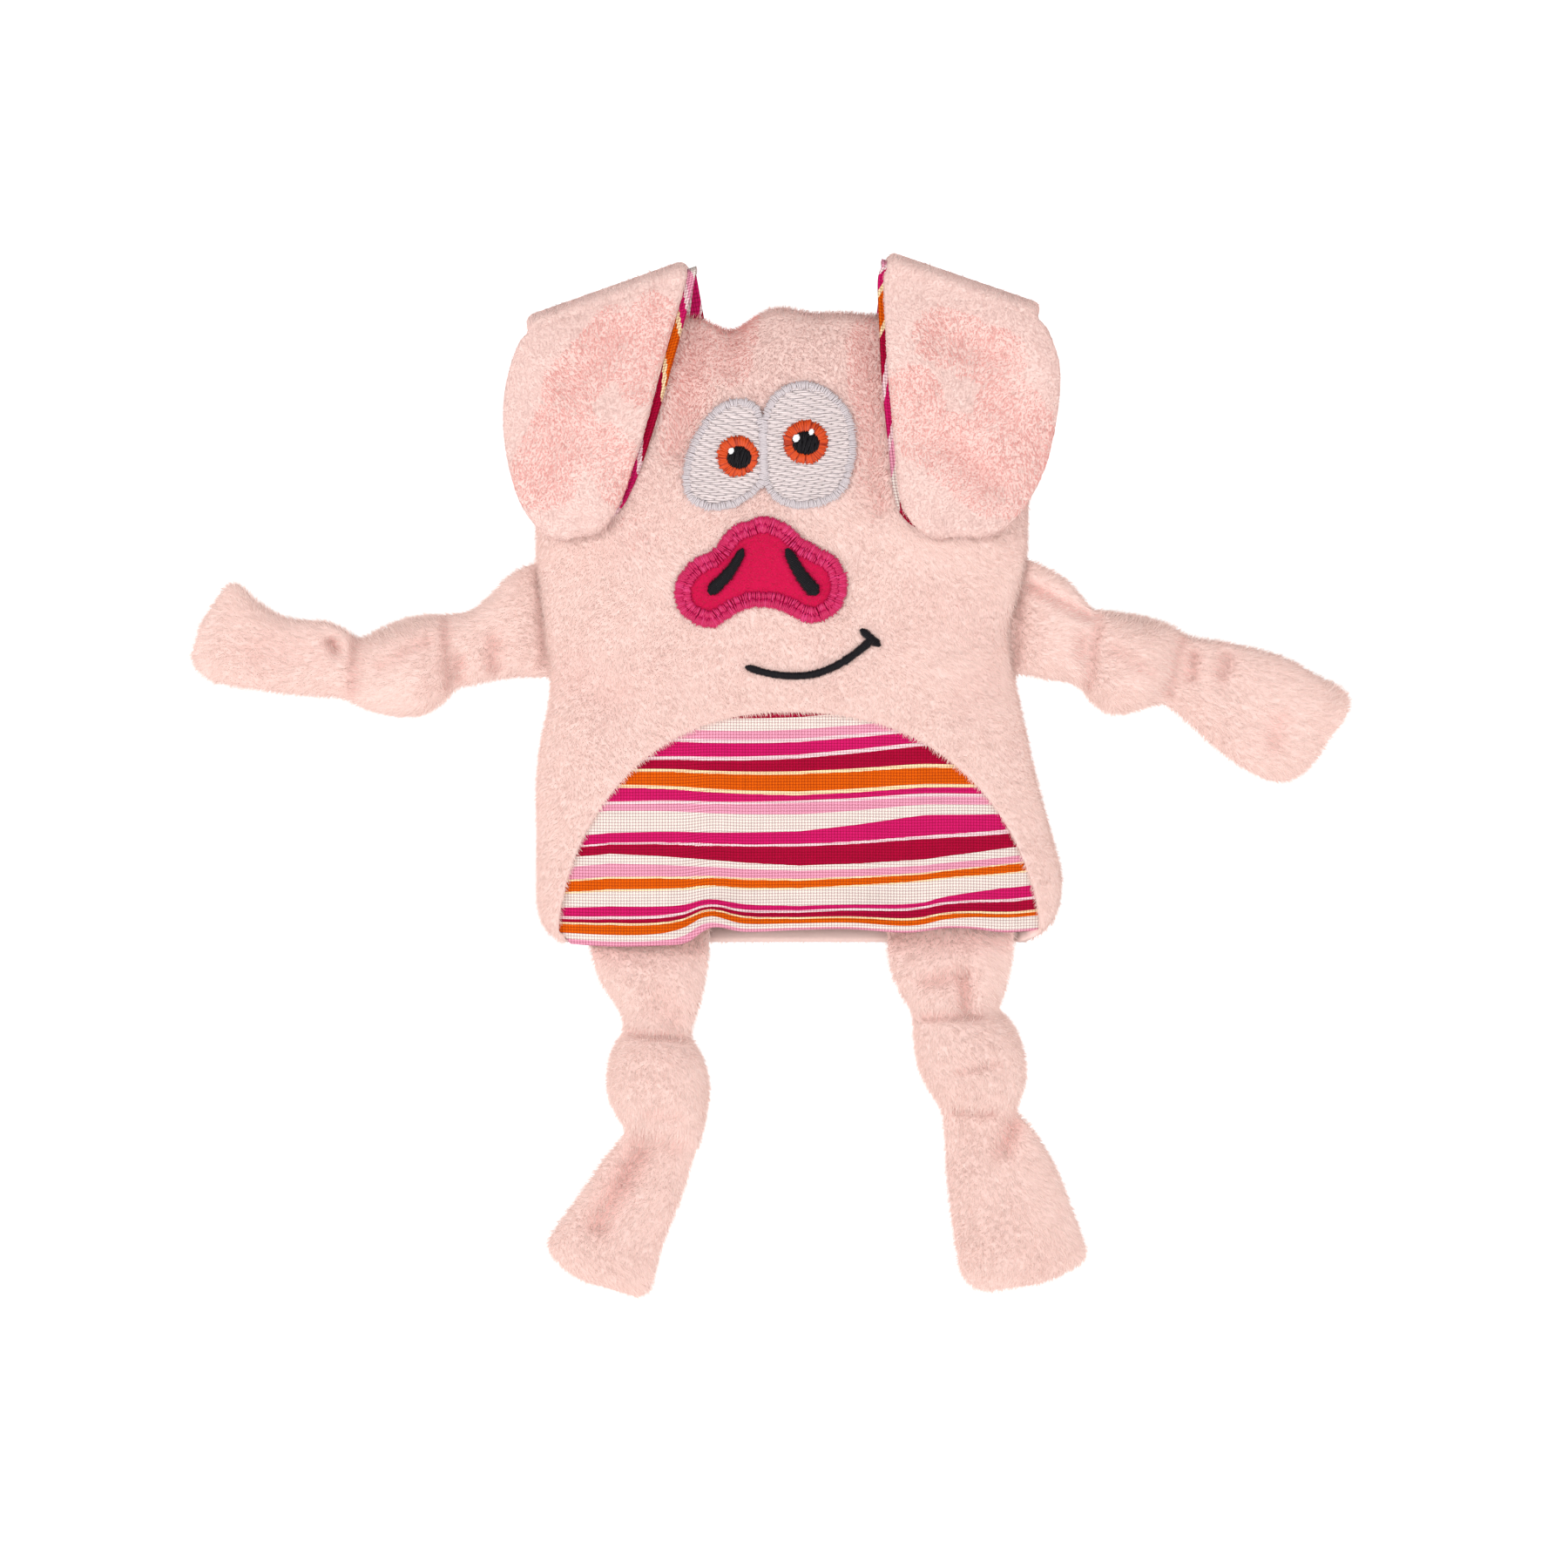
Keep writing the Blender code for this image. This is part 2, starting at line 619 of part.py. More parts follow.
def build_mouth(nod):
    stitched("mouth_line", ladder(line_rungs(MOUTH, MOUTH_WIDTH), 12, 2), "black_thread", nod)
    stitched("mouth_corner", ladder(line_rungs(MOUTH_CORNER, MOUTH_WIDTH), 5, 2), "black_thread", nod)


def ear_inner(x, z):
    """Depth of the side of a folded ear that faces the head."""
    return -5.0 - 7.2 * swell(x, z)


def build_ear(side, flap_rungs, root_rungs, crease_ends, nod):
    start, end = crease_ends
    middle = ((start[0] + end[0]) / 2, (start[1] + end[1]) / 2)
    seam = joint_empty(f"{side}_ear_root_axis", (root_rungs[1][0], SEAM_Y - 0.2, 134.3), nod)
    crease = joint_empty(f"{side}_ear_fold_axis", (middle[0], EAR_CREASE_Y, middle[1]), seam)
    root = ladder(root_rungs, 7, 3)
    panel(f"{side}_ear_root_lining", root, lambda x, z: -0.5, lambda x, z: 0.1, "stripes", seam)
    panel(f"{side}_ear_root_plush", root, lambda x, z: 0.4, lambda x, z: 2.0, "plush", seam)
    flap = ladder(flap_rungs, 13, 7)
    near = -EAR_LINING - GAP - EAR_PLUSH
    lining = stack(ear_inner, -EAR_LINING, 0)
    plush = stack(ear_inner, near, near + EAR_PLUSH)
    panel(f"{side}_ear_lining", flap, *lining, "stripes", crease)
    panel(f"{side}_ear_plush", flap, *plush, "plush", crease)


def rung_middle(rung):
    ax, az, bx, bz, y, _ = rung
    return Vector(((ax + bx) / 2, y, (az + bz) / 2))


def build_limb(name, parts, parent):
    """A strip from the pouch to the knot, the knot, and the strip beyond it."""
    at = rung_middle(parts["upper"][0])
    root = joint_empty(f"{name}_root_axis", at, parent)
    at = (rung_middle(parts["upper"][-1]) + rung_middle(parts["knot"][0])) / 2
    neck = joint_empty(f"{name}_neck_axis", at, root)
    at = (rung_middle(parts["knot"][-1]) + rung_middle(parts["end"][0])) / 2
    tail = joint_empty(f"{name}_tail_axis", at, neck)
    end_name = "hand" if name.endswith("arm") else "foot"
    side = name.split("_")[0]
    strip(f"{name}_upper", parts["upper"], "plush", root, 8)
    strip(f"{name}_knot", parts["knot"], "plush", neck, 9)
    strip(f"{side}_{end_name}", parts["end"], "plush", tail, 11)


def build_leg_tabs():
    """The upper ends of the leg strips, sewn behind the front hem."""
    for name, (left, right, bottom) in LEG_TABS.items():
        rungs = [
            (left, bottom, right, bottom, -0.8, 2.2),
            (left + 0.6, TAB_TOP, right - 0.6, TAB_TOP, -0.8, 2.0),
        ]
        strip(name, rungs, "plush", None, 3)


def main():
    clear_scene()
    build_torso()
    nod = joint_empty("head_nod_axis", (0, front_outer(0, NOD_Z) - NOD_CLEAR, NOD_Z))
    build_head(nod)
    build_eyes(nod)
    build_snout(nod)
    build_mouth(nod)
    build_ear("left", LEFT_EAR, LEFT_EAR_ROOT, LEFT_CREASE, nod)
    build_ear("right", RIGHT_EAR, RIGHT_EAR_ROOT, RIGHT_CREASE, nod)
    for name, parts in LIMBS.items():
        build_limb(name, parts, nod if name.endswith("arm") else None)
    build_leg_tabs()


main()
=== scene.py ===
import json
import math

import bpy
import numpy as np
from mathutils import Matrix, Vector


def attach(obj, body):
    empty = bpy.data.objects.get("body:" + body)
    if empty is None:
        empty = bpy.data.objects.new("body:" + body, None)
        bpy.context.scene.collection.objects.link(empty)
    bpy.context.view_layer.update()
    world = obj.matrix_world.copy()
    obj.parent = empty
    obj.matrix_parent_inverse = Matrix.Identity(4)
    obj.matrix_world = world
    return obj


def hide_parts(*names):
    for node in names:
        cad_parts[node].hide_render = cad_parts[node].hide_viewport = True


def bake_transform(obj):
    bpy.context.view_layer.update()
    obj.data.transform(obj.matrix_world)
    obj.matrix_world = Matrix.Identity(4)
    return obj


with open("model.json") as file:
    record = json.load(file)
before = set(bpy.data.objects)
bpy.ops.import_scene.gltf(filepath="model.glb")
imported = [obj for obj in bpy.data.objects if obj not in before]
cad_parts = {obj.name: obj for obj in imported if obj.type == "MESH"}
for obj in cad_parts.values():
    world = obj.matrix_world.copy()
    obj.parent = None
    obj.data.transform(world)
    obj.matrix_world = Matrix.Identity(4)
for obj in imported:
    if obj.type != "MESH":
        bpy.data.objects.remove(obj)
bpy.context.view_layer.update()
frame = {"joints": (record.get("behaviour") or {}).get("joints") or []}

mm = 0.001
jointOf = {joint["name"]: joint for joint in frame["joints"]}

# Sizes below are in millimetres, x across, z up, -y out of the face.
pouch = {
    "seamY": 1.0,
    "thick": 2.2,
    "frontRise": 10.0,
    "backRise": 7.5,
    "backFlatY": 8.5,
    "top": 132.4,
    "widestZ": 45.0,
    "hemZ": -1.0,
    # z, then x of the left and the right edge
    "edges": [
        (-1.5, -47.0, 51.4), (1.5, -50.6, 55.8), (6, -52.4, 58.4), (13, -52.6, 59.0),
        (22, -52.6, 56.8), (32, -52.7, 54.0), (41, -51.8, 52.0), (50, -50.0, 50.0),
        (57, -49.9, 48.9), (65, -51.0, 48.2), (72, -51.8, 49.8), (80, -52.6, 51.5),
        (95, -52.7, 52.0), (110, -52.2, 51.8), (120, -51.4, 51.0), (127, -49.2, 49.2),
        (130.8, -45.0, 45.0), (132.4, -39.5, 39.5),
    ],
    # x, width, depth: the dips and the bump in the top seam
    "topDips": [(-11.5, 5.0, 3.4), (-1.0, 6.0, -1.7), (12.0, 5.0, -0.6)],
    "roll": 2.4,
    # x, z, x, z, width, depth: hollows pressed into the front, each also painting shade
    "hollows": [
        (-48, 56, -36, 51, 5.0, 1.3), (47, 57, 38, 51, 5.0, 1.1), (-10, 131, -12, 122, 3.0, 1.0),
        (-18.5, 129, -22, 104, 3.4, 1.6), (18, 126, 20, 92, 3.2, 1.1), (-40, 80, -24, 86, 6.0, 0.7),
        (28, 70, 40, 62, 7.0, 0.6),
    ],
}
arch = {"top": 47.3, "middle": 1.5, "left": 49.5, "right": 53.0, "power": 1.75, "root": 0.43}
belly = {
    "thick": 0.9,
    "proud": 1.2,
    "tucked": 1.2,
    "inset": 1.4,
    # x, z along the cut hem, and along the line that the stripes follow
    "hem": [(-48, -1.6), (-37, -2.2), (-27, -2.0), (-21, -1.4), (-17, 1.2), (-14, 2.0), (-8, 1.0),
            (3, 1.4), (14, 1.6), (26, 0.8), (34, 1.7), (40, 1.6), (47, 0.8), (54.5, 1.2)],
    "level": [(-48, -3.0), (-37, -2.0), (-17, -0.6), (3, 1.4), (16, 1.3), (30, 1.4), (46, 0.9), (56, 2.0)],
    # x, width, rise, fade: a fold that lifts the stripes
    "bump": (-18.5, 6.0, 1.6, 8.0),
    # colour, then its width at each station, from the hem up
    "stations": (-37, 3, 30, 46),
    "bands": [
        ("rose", 1.1, 0.5, 0.4, 0.4), ("cream", 1.2, 0.8, 0.9, 2.7), ("orange", 2.4, 1.1, 1.3, 0.9),
        ("lemon", 0.3, 0.2, 0.2, 0.2), ("crimson", 0.9, 1.1, 1.8, 2.4), ("white", 0.4, 0.4, 0.4, 0.3),
        ("magenta", 2.2, 0.9, 0.7, 2.5), ("cream", 3.3, 3.7, 4.5, 3.0), ("lemon", 0.3, 0.2, 0.2, 0.2),
        ("orange", 2.4, 1.7, 1.4, 1.8), ("lemon", 0.3, 0.3, 0.2, 0.1), ("rose", 2.7, 1.7, 1.5, 1.4),
        ("cream", 2.2, 1.1, 1.3, 2.0), ("crimson", 2.0, 4.2, 4.4, 3.1), ("white", 0.3, 0.4, 0.6, 0.9),
        ("magenta", 1.9, 2.6, 4.4, 3.4), ("cream", 4.8, 3.5, 2.2, 2.0), ("rose", 1.5, 2.8, 1.8, 1.8),
        ("white", 0.3, 0.3, 0.6, 0.5), ("magenta", 3.4, 1.3, 1.4, 1.5), ("lemon", 0.3, 0.4, 0.4, 0.4),
        ("orange", 3.0, 4.1, 3.9, 3.5), ("lemon", 0.4, 0.3, 0.4, 0.4), ("crimson", 1.8, 3.0, 4.2, 4.0),
        ("white", 0.4, 0.6, 0.6, 0.6), ("magenta", 3.6, 2.9, 2.5, 2.5), ("white", 0.6, 0.6, 0.6, 0.6),
        ("rose", 2.0, 2.0, 2.0, 2.0), ("cream", 2.4, 2.4, 2.4, 2.4), ("crimson", 4.0, 4.0, 4.0, 4.0),
    ],
    "threadPitch": 0.63,
}
ears = {
    "plushThick": 1.7,
    "liningThick": 0.6,
    "foldReach": 3.5,
    "foldHeight": 1.7,
    "rootY": 1.1,
    # inner edge, outer edge: seam at the head, crease, then down the flap
    "left": {
        "seam": [(-18.6, 131.6), (-47.0, 129.2)],
        "crease": [(-20.6, 140.6), (-54.4, 128.6)],
        "flap": [
            (-21.3, 137.6, -56.6, 125.6), (-24.0, 128.0, -58.6, 119.0), (-26.2, 120.0, -59.5, 112.3),
            (-28.5, 111.2, -59.2, 105.0), (-30.8, 103.4, -57.8, 98.0), (-33.2, 96.4, -55.6, 92.0),
            (-35.6, 91.4, -52.8, 88.2), (-38.8, 88.0, -49.4, 86.1), (-42.6, 86.3, -45.4, 85.6),
        ],
        "liningOut": 0.055,
        "slant": 0.35,
        "start": 20.5,
        "hollows": [
            (-35, 128, -45, 117, 3.6, 1.7), (-27, 132, -30, 118, 3.4, 1.0), (-46, 108, -50, 98, 5.0, 0.9),
            (-38, 104, -33, 96, 4.0, 0.8),
        ],
    },
    "right": {
        "seam": [(20.6, 131.6), (47.0, 129.2)],
        "crease": [(22.0, 142.4), (54.0, 131.4)],
        "flap": [
            (21.2, 139.2, 56.2, 128.6), (21.6, 129.6, 58.4, 121.6), (22.0, 120.4, 58.4, 114.6),
            (22.8, 110.8, 57.4, 107.6), (23.6, 102.2, 55.8, 100.9), (24.2, 95.2, 53.2, 95.0),
            (25.6, 90.2, 50.2, 90.6), (29.0, 87.0, 46.0, 87.4), (34.0, 85.6, 40.4, 85.8),
        ],
        "liningOut": 0.035,
        "slant": 0.42,
        "start": 21.0,
        "hollows": [
            (36, 104, 44, 97, 4.6, 2.2), (33, 128, 45, 123, 4.0, 1.3), (47, 112, 52, 104, 5.0, 1.0),
            (27, 116, 30, 106, 4.0, 0.9),
        ],
    },
}
# Each rung crosses the strip: x, z of one edge, x, z of the other, thickness.
limbs = {
    "left_arm": {
        "parts": ("left_arm_upper", "left_arm_knot", "left_hand"),
        "joints": ("left_arm_flap", "left_arm_swing", "left_hand_flap"),
        "middleY": (1.0, 1.0),
        "rungs": [
            (-49.5, 80.2, -48.6, 55.2, 2.4), (-54.0, 79.2, -53.2, 55.4, 4.6),
            (-58.5, 76.8, -58.0, 55.4, 6.6), (-62.0, 73.1, -62.3, 54.9, 7.6),
            (-66.6, 69.4, -66.5, 54.0, 7.6), (-70.3, 68.6, -70.2, 52.8, 7.0),
            (-74.0, 68.3, -73.4, 49.8, 10.5), (-77.5, 67.9, -77.0, 47.7, 13.0),
            (-80.8, 67.2, -80.6, 47.1, 13.6), (-85.1, 65.4, -84.6, 47.5, 12.5),
            (-88.5, 63.9, -88.3, 48.4, 9.5), (-91.2, 63.4, -91.2, 49.6, 6.4),
            (-94.4, 65.6, -94.8, 51.0, 6.2), (-98.2, 67.0, -98.6, 51.3, 6.8),
            (-103.6, 67.3, -104.4, 51.8, 7.0), (-108.0, 68.4, -110.6, 52.6, 6.8),
            (-112.6, 71.2, -116.4, 53.4, 6.4), (-117.6, 75.2, -121.4, 54.4, 5.0),
            (-121.6, 70.8, -125.0, 57.0, 4.2), (-124.8, 65.4, -126.4, 60.2, 2.2),
        ],
        "hollows": [
            (-72.2, 67.4, -71.6, 53.0, 1.3, 1.2), (-91.2, 62.6, -91.6, 52.4, 1.8, 1.3),
            (-96.4, 62.6, -95.6, 61.2, 1.5, 3.2), (-69.2, 58.8, -69.4, 55.4, 1.8, 1.8),
            (-61.6, 62.6, -61.8, 58.0, 2.2, 1.6), (-51.8, 78.0, -51.0, 57.6, 1.7, 1.0),
            (-76.0, 63.0, -86.0, 57.6, 1.5, 0.9), (-100.0, 60.0, -112.0, 61.0, 4.0, 0.9),
        ],
    },
    "right_arm": {
        "parts": ("right_arm_upper", "right_arm_knot", "right_hand"),
        "joints": ("right_arm_flap", "right_arm_swing", "right_hand_flap"),
        "middleY": (1.0, 1.0),
        "rungs": [
            (48.6, 81.2, 47.6, 55.9, 2.4), (52.6, 80.0, 52.0, 55.8, 4.6), (56.6, 78.0, 56.2, 55.0, 6.6),
            (60.2, 75.8, 59.4, 54.6, 7.6), (63.0, 72.8, 61.6, 54.0, 7.6), (65.6, 69.9, 63.6, 52.8, 7.0),
            (69.0, 69.1, 66.0, 50.2, 10.0), (72.4, 68.5, 69.0, 48.1, 13.0),
            (76.4, 67.7, 72.2, 47.9, 13.6), (80.0, 66.8, 76.0, 48.7, 12.5),
            (83.2, 65.5, 79.0, 49.6, 9.5), (86.2, 63.8, 82.0, 49.3, 6.4), (89.8, 63.2, 85.4, 46.7, 6.2),
            (94.5, 62.4, 89.2, 43.3, 6.8), (100.0, 61.3, 93.6, 39.4, 7.0),
            (107.0, 59.2, 98.4, 35.9, 6.8), (113.8, 55.4, 103.0, 33.6, 6.4),
            (119.8, 51.8, 107.4, 33.2, 5.4), (120.2, 48.4, 111.0, 35.4, 4.0),
            (118.8, 45.2, 114.2, 39.4, 2.2),
        ],
        "hollows": [
            (50.8, 79.4, 49.6, 58.2, 1.7, 1.0), (52.6, 74.6, 64.2, 68.4, 1.6, 2.2),
            (66.8, 68.2, 64.8, 53.6, 1.4, 1.3), (84.6, 63.0, 81.8, 52.0, 1.7, 1.3),
            (63.4, 63.6, 63.2, 60.0, 1.8, 1.6), (87.0, 59.6, 86.4, 55.8, 1.8, 1.8),
            (94.2, 59.0, 93.0, 55.8, 1.8, 1.4), (105.4, 46.0, 104.2, 41.2, 2.4, 1.3),
            (70.0, 61.0, 78.0, 56.0, 1.5, 0.9),
        ],
    },
    "left_leg": {
        "parts": ("left_leg_upper", "left_leg_knot", "left_foot"),
        "joints": ("left_leg_flap", "left_leg_swing", "left_foot_flap"),
        "middleY": (-0.8, 0.0),
        "tab": "left_leg_tab",
        "rungs": [
            (-41.6, 5.4, -15.8, 5.4, 2.4), (-41.6, 0.6, -15.9, 0.4, 3.6),
            (-40.8, -4.4, -16.3, -4.6, 5.6), (-38.8, -9.6, -17.2, -9.8, 7.4),
            (-36.0, -13.8, -18.1, -14.0, 8.0), (-34.3, -17.0, -19.2, -17.2, 8.2),
            (-34.0, -20.4, -20.2, -21.0, 8.6), (-35.6, -23.2, -19.0, -23.8, 11.5),
            (-36.9, -26.6, -17.4, -26.8, 13.5), (-37.4, -30.8, -16.4, -31.2, 14.0),
            (-36.8, -35.0, -16.6, -36.0, 13.0), (-35.2, -38.6, -17.4, -40.6, 10.5),
            (-33.8, -41.6, -18.2, -44.2, 7.2), (-35.2, -44.2, -19.4, -46.8, 6.6),
            (-38.0, -47.6, -20.4, -50.0, 6.8), (-41.2, -52.2, -21.9, -55.0, 7.0),
            (-44.8, -57.4, -24.0, -60.4, 7.0), (-48.2, -62.0, -26.2, -66.2, 6.8),
            (-50.2, -66.2, -27.8, -72.0, 5.8), (-47.2, -70.6, -28.8, -75.2, 4.6),
            (-42.4, -73.8, -31.6, -77.0, 2.2),
        ],
        "hollows": [
            (-32.6, -20.6, -21.6, -21.6, 1.0, 1.3), (-31.4, -42.8, -22.8, -44.6, 1.7, 0.9),
            (-30.8, -46.0, -39.4, -61.0, 3.0, 2.2), (-26.0, -14.0, -23.6, -18.0, 3.4, 0.9),
            (-22.0, -38.6, -29.0, -37.6, 1.2, 0.6), (-40.0, -2.0, -18.0, -1.0, 3.2, 1.4),
        ],
    },
    "right_leg": {
        "parts": ("right_leg_upper", "right_leg_knot", "right_foot"),
        "joints": ("right_leg_flap", "right_leg_swing", "right_foot_flap"),
        "middleY": (-0.8, 0.0),
        "tab": "right_leg_tab",
        "rungs": [
            (21.8, 5.8, 49.4, 5.8, 2.4), (21.9, 1.4, 49.2, 1.4, 3.6), (22.3, -2.8, 48.7, -2.8, 5.6),
            (23.4, -8.0, 47.8, -8.0, 7.6), (25.6, -12.8, 46.6, -12.4, 8.2),
            (27.6, -16.4, 45.8, -15.8, 8.4), (27.9, -19.4, 48.4, -19.0, 11.2),
            (28.2, -23.2, 50.2, -23.0, 13.4), (29.0, -27.8, 51.2, -27.6, 14.0),
            (30.7, -31.8, 51.0, -31.6, 13.0), (32.8, -35.0, 50.0, -35.2, 10.4),
            (34.0, -37.8, 49.6, -37.8, 7.2), (34.3, -41.0, 52.4, -40.8, 6.6),
            (34.7, -46.0, 55.5, -45.4, 6.8), (35.1, -52.0, 58.5, -51.0, 7.0),
            (35.9, -59.0, 61.2, -58.0, 7.0), (36.8, -66.0, 63.5, -64.6, 6.8),
            (38.0, -71.8, 64.2, -68.5, 5.8), (40.8, -74.8, 60.0, -71.6, 4.4),
            (45.0, -75.6, 54.4, -74.2, 2.2),
        ],
        "hollows": [
            (30.4, -9.4, 38.4, -8.0, 2.0, 1.3), (38.6, -8.4, 38.4, -15.2, 1.7, 2.0),
            (30.0, -17.2, 41.6, -16.9, 1.1, 1.2), (37.2, -28.8, 45.4, -27.0, 1.0, 0.9),
            (36.4, -37.4, 44.6, -37.6, 1.2, 1.0), (48.8, -40.8, 46.8, -45.0, 2.4, 2.0),
            (24.0, 0.0, 47.0, 0.6, 3.2, 1.4),
        ],
    },
}
face = {
    "leftEye": [
        (-9.3, 114.1), (-13.0, 113.2), (-15.8, 111.0), (-18.0, 107.9), (-19.8, 104.5), (-21.1, 99.9),
        (-21.3, 96.2), (-20.4, 93.1), (-18.0, 91.2), (-14.8, 90.5), (-11.1, 91.0), (-8.4, 92.3),
        (-5.6, 94.4), (-4.0, 97.0), (-3.6, 102.0), (-4.0, 107.0), (-5.0, 111.6), (-6.8, 113.4),
    ],
    "rightEye": [
        (3.7, 117.8), (0.0, 116.7), (-2.8, 114.1), (-4.3, 111.0), (-5.0, 106.4), (-5.0, 100.8),
        (-4.1, 96.0), (-2.3, 93.1), (0.3, 91.4), (3.7, 90.8), (8.3, 91.6), (12.0, 93.8),
        (13.8, 97.1), (15.1, 102.7), (14.8, 108.2), (13.3, 112.3), (10.1, 115.6), (7.0, 117.3),
    ],
    # the pupil's x, z and two radii; each glint's x, z and width
    "leftIris": {
        "at": (-9.9, 101.9),
        "radius": 4.4,
        "pupil": (-9.5, 101.6, 2.7, 2.6),
        "glints": [(-11.2, 102.9, 1.0)],
    },
    "rightIris": {
        "at": (4.6, 104.9),
        "radius": 4.8,
        "pupil": (4.6, 104.7, 3.0, 2.7),
        "glints": [(2.6, 105.6, 1.3), (5.8, 106.9, 0.9)],
    },
    "snout": [
        (-4.5, 89.0), (-7.4, 88.2), (-10.6, 87.0), (-13.0, 84.7), (-14.8, 82.0), (-18.5, 80.1),
        (-21.3, 77.7), (-22.6, 75.3), (-23.0, 72.2), (-22.2, 69.4), (-20.4, 67.5), (-17.6, 66.0),
        (-14.8, 65.7), (-13.0, 66.8), (-10.2, 68.6), (-7.4, 69.7), (-3.7, 69.9), (0.0, 69.0),
        (2.7, 67.5), (5.5, 66.6), (8.3, 67.2), (11.1, 68.8), (12.5, 71.2), (13.3, 74.6),
        (12.5, 77.7), (10.7, 80.5), (7.4, 82.3), (3.7, 84.5), (0.9, 87.1), (-1.9, 88.4),
    ],
    "snoutBorder": 3.3,
    # a path, then its width at the start and at the end
    "leftNostril": ([(-8.7, 82.1), (-10.0, 79.6), (-11.9, 76.8), (-14.1, 74.6), (-15.8, 72.9)], 1.9, 3.3),
    "rightNostril": ([(0.7, 82.1), (2.0, 79.4), (3.8, 76.4), (5.7, 74.0), (7.0, 72.7)], 2.2, 3.6),
    "mouth": ([(-8.0, 57.2), (-3.7, 55.9), (0.9, 55.3), (5.5, 55.5), (9.2, 56.6), (12.9, 58.5),
               (16.2, 60.9), (18.5, 62.9)], 1.6, 1.8),
    "corner": ([(16.4, 65.1), (18.3, 63.4), (20.2, 61.7)], 1.9, 1.9),
}
# Tufts to a square millimetre, and at most so many in a piece.
pile = {
    "length": 1.4,
    "width": 0.1,
    "frontDensity": 9.0,
    "backDensity": 5.0,
    "limbDensity": 8.5,
    "earDensity": 10.0,
    "most": 47000,
}


# A screen colour, 0 to 255, as linear light
def ink(red, green, blue):
    share = np.array([red, green, blue]) / 255
    light = np.where(share > 0.04045, ((share + 0.055) / 1.055) ** 2.4, share / 12.92)
    return (*[float(v) for v in light], 1.0)


colours = {
    "plushLight": ink(242, 218, 210),
    "plushMiddle": ink(237, 210, 202),
    "plushDeep": ink(226, 194, 187),
    # painted shade: the redder tone of the plush in its creases and hollows
    "plushCreaseShade": ink(228, 166, 159),
    "rose": ink(238, 160, 186),
    "cream": ink(240, 228, 220),
    "orange": ink(222, 92, 0),
    "lemon": ink(252, 226, 178),
    "crimson": ink(170, 0, 52),
    "white": ink(244, 214, 218),
    "magenta": ink(208, 22, 102),
    "lining": ink(246, 226, 218),
    "backing": ink(240, 240, 236),
    "eyeThread": ink(230, 216, 215),
    # eyeEdge: the edge thread's own pale grey, also used for the eye's pad as painted shade between the
    # white rows
    "eyeEdge": ink(208, 197, 200),
    "iris": ink(214, 72, 8),
    "irisDark": ink(176, 48, 4),
    "black": ink(24, 22, 26),
    "glint": ink(250, 250, 252),
    "snoutThread": ink(200, 20, 88),
    "snoutPale": ink(216, 48, 112),
    "snoutPlush": ink(200, 0, 66),
    "snoutDeep": ink(188, 0, 66),
}


# An even grey as a colour
def grey(value):
    return (value, value, value, 1)


# A matt material, its node tree and its shader
def newMaterial(name, roughness, sheen):
    made = bpy.data.materials.new(name)
    made.use_nodes = True
    shader = made.node_tree.nodes["Principled BSDF"]
    shader.inputs["Roughness"].default_value = roughness
    shader.inputs["Sheen Weight"].default_value = sheen
    shader.inputs["Sheen Roughness"].default_value = 0.5
    shader.inputs["Specular IOR Level"].default_value = 0.25
    return made, made.node_tree, shader


# A maths node fed by numbers or sockets
def mathNode(tree, operation, first, second=None, third=None):
    node = tree.nodes.new("ShaderNodeMath")
    node.operation = operation
    for place, value in enumerate((first, second, third)):
        if value is None:
            continue
        if isinstance(value, (int, float)):
            node.inputs[place].default_value = value
        else:
            tree.links.new(value, node.inputs[place])
    return node.outputs[0]


# Two colours mixed, each a colour or a socket
def mixColour(tree, factor, first, second, blendType="MIX"):
    node = tree.nodes.new("ShaderNodeMix")
    node.data_type = "RGBA"
    node.blend_type = blendType
    for socket, value in ((node.inputs[0], factor), (node.inputs[6], first), (node.inputs[7], second)):
        if isinstance(value, (int, float, tuple)):
            socket.default_value = value
        else:
            tree.links.new(value, socket)
    return node.outputs[2]


# A node group with named sockets, and its input and output nodes
def newGroup(name, takes, gives):
    group = bpy.data.node_groups.new(name, "ShaderNodeTree")
    for socket, kind in takes:
        group.interface.new_socket(socket, in_out="INPUT", socket_type="NodeSocket" + kind)
    for socket in gives:
        group.interface.new_socket(socket, in_out="OUTPUT", socket_type="NodeSocketFloat")
    return group, group.nodes.new("NodeGroupInput"), group.nodes.new("NodeGroupOutput")


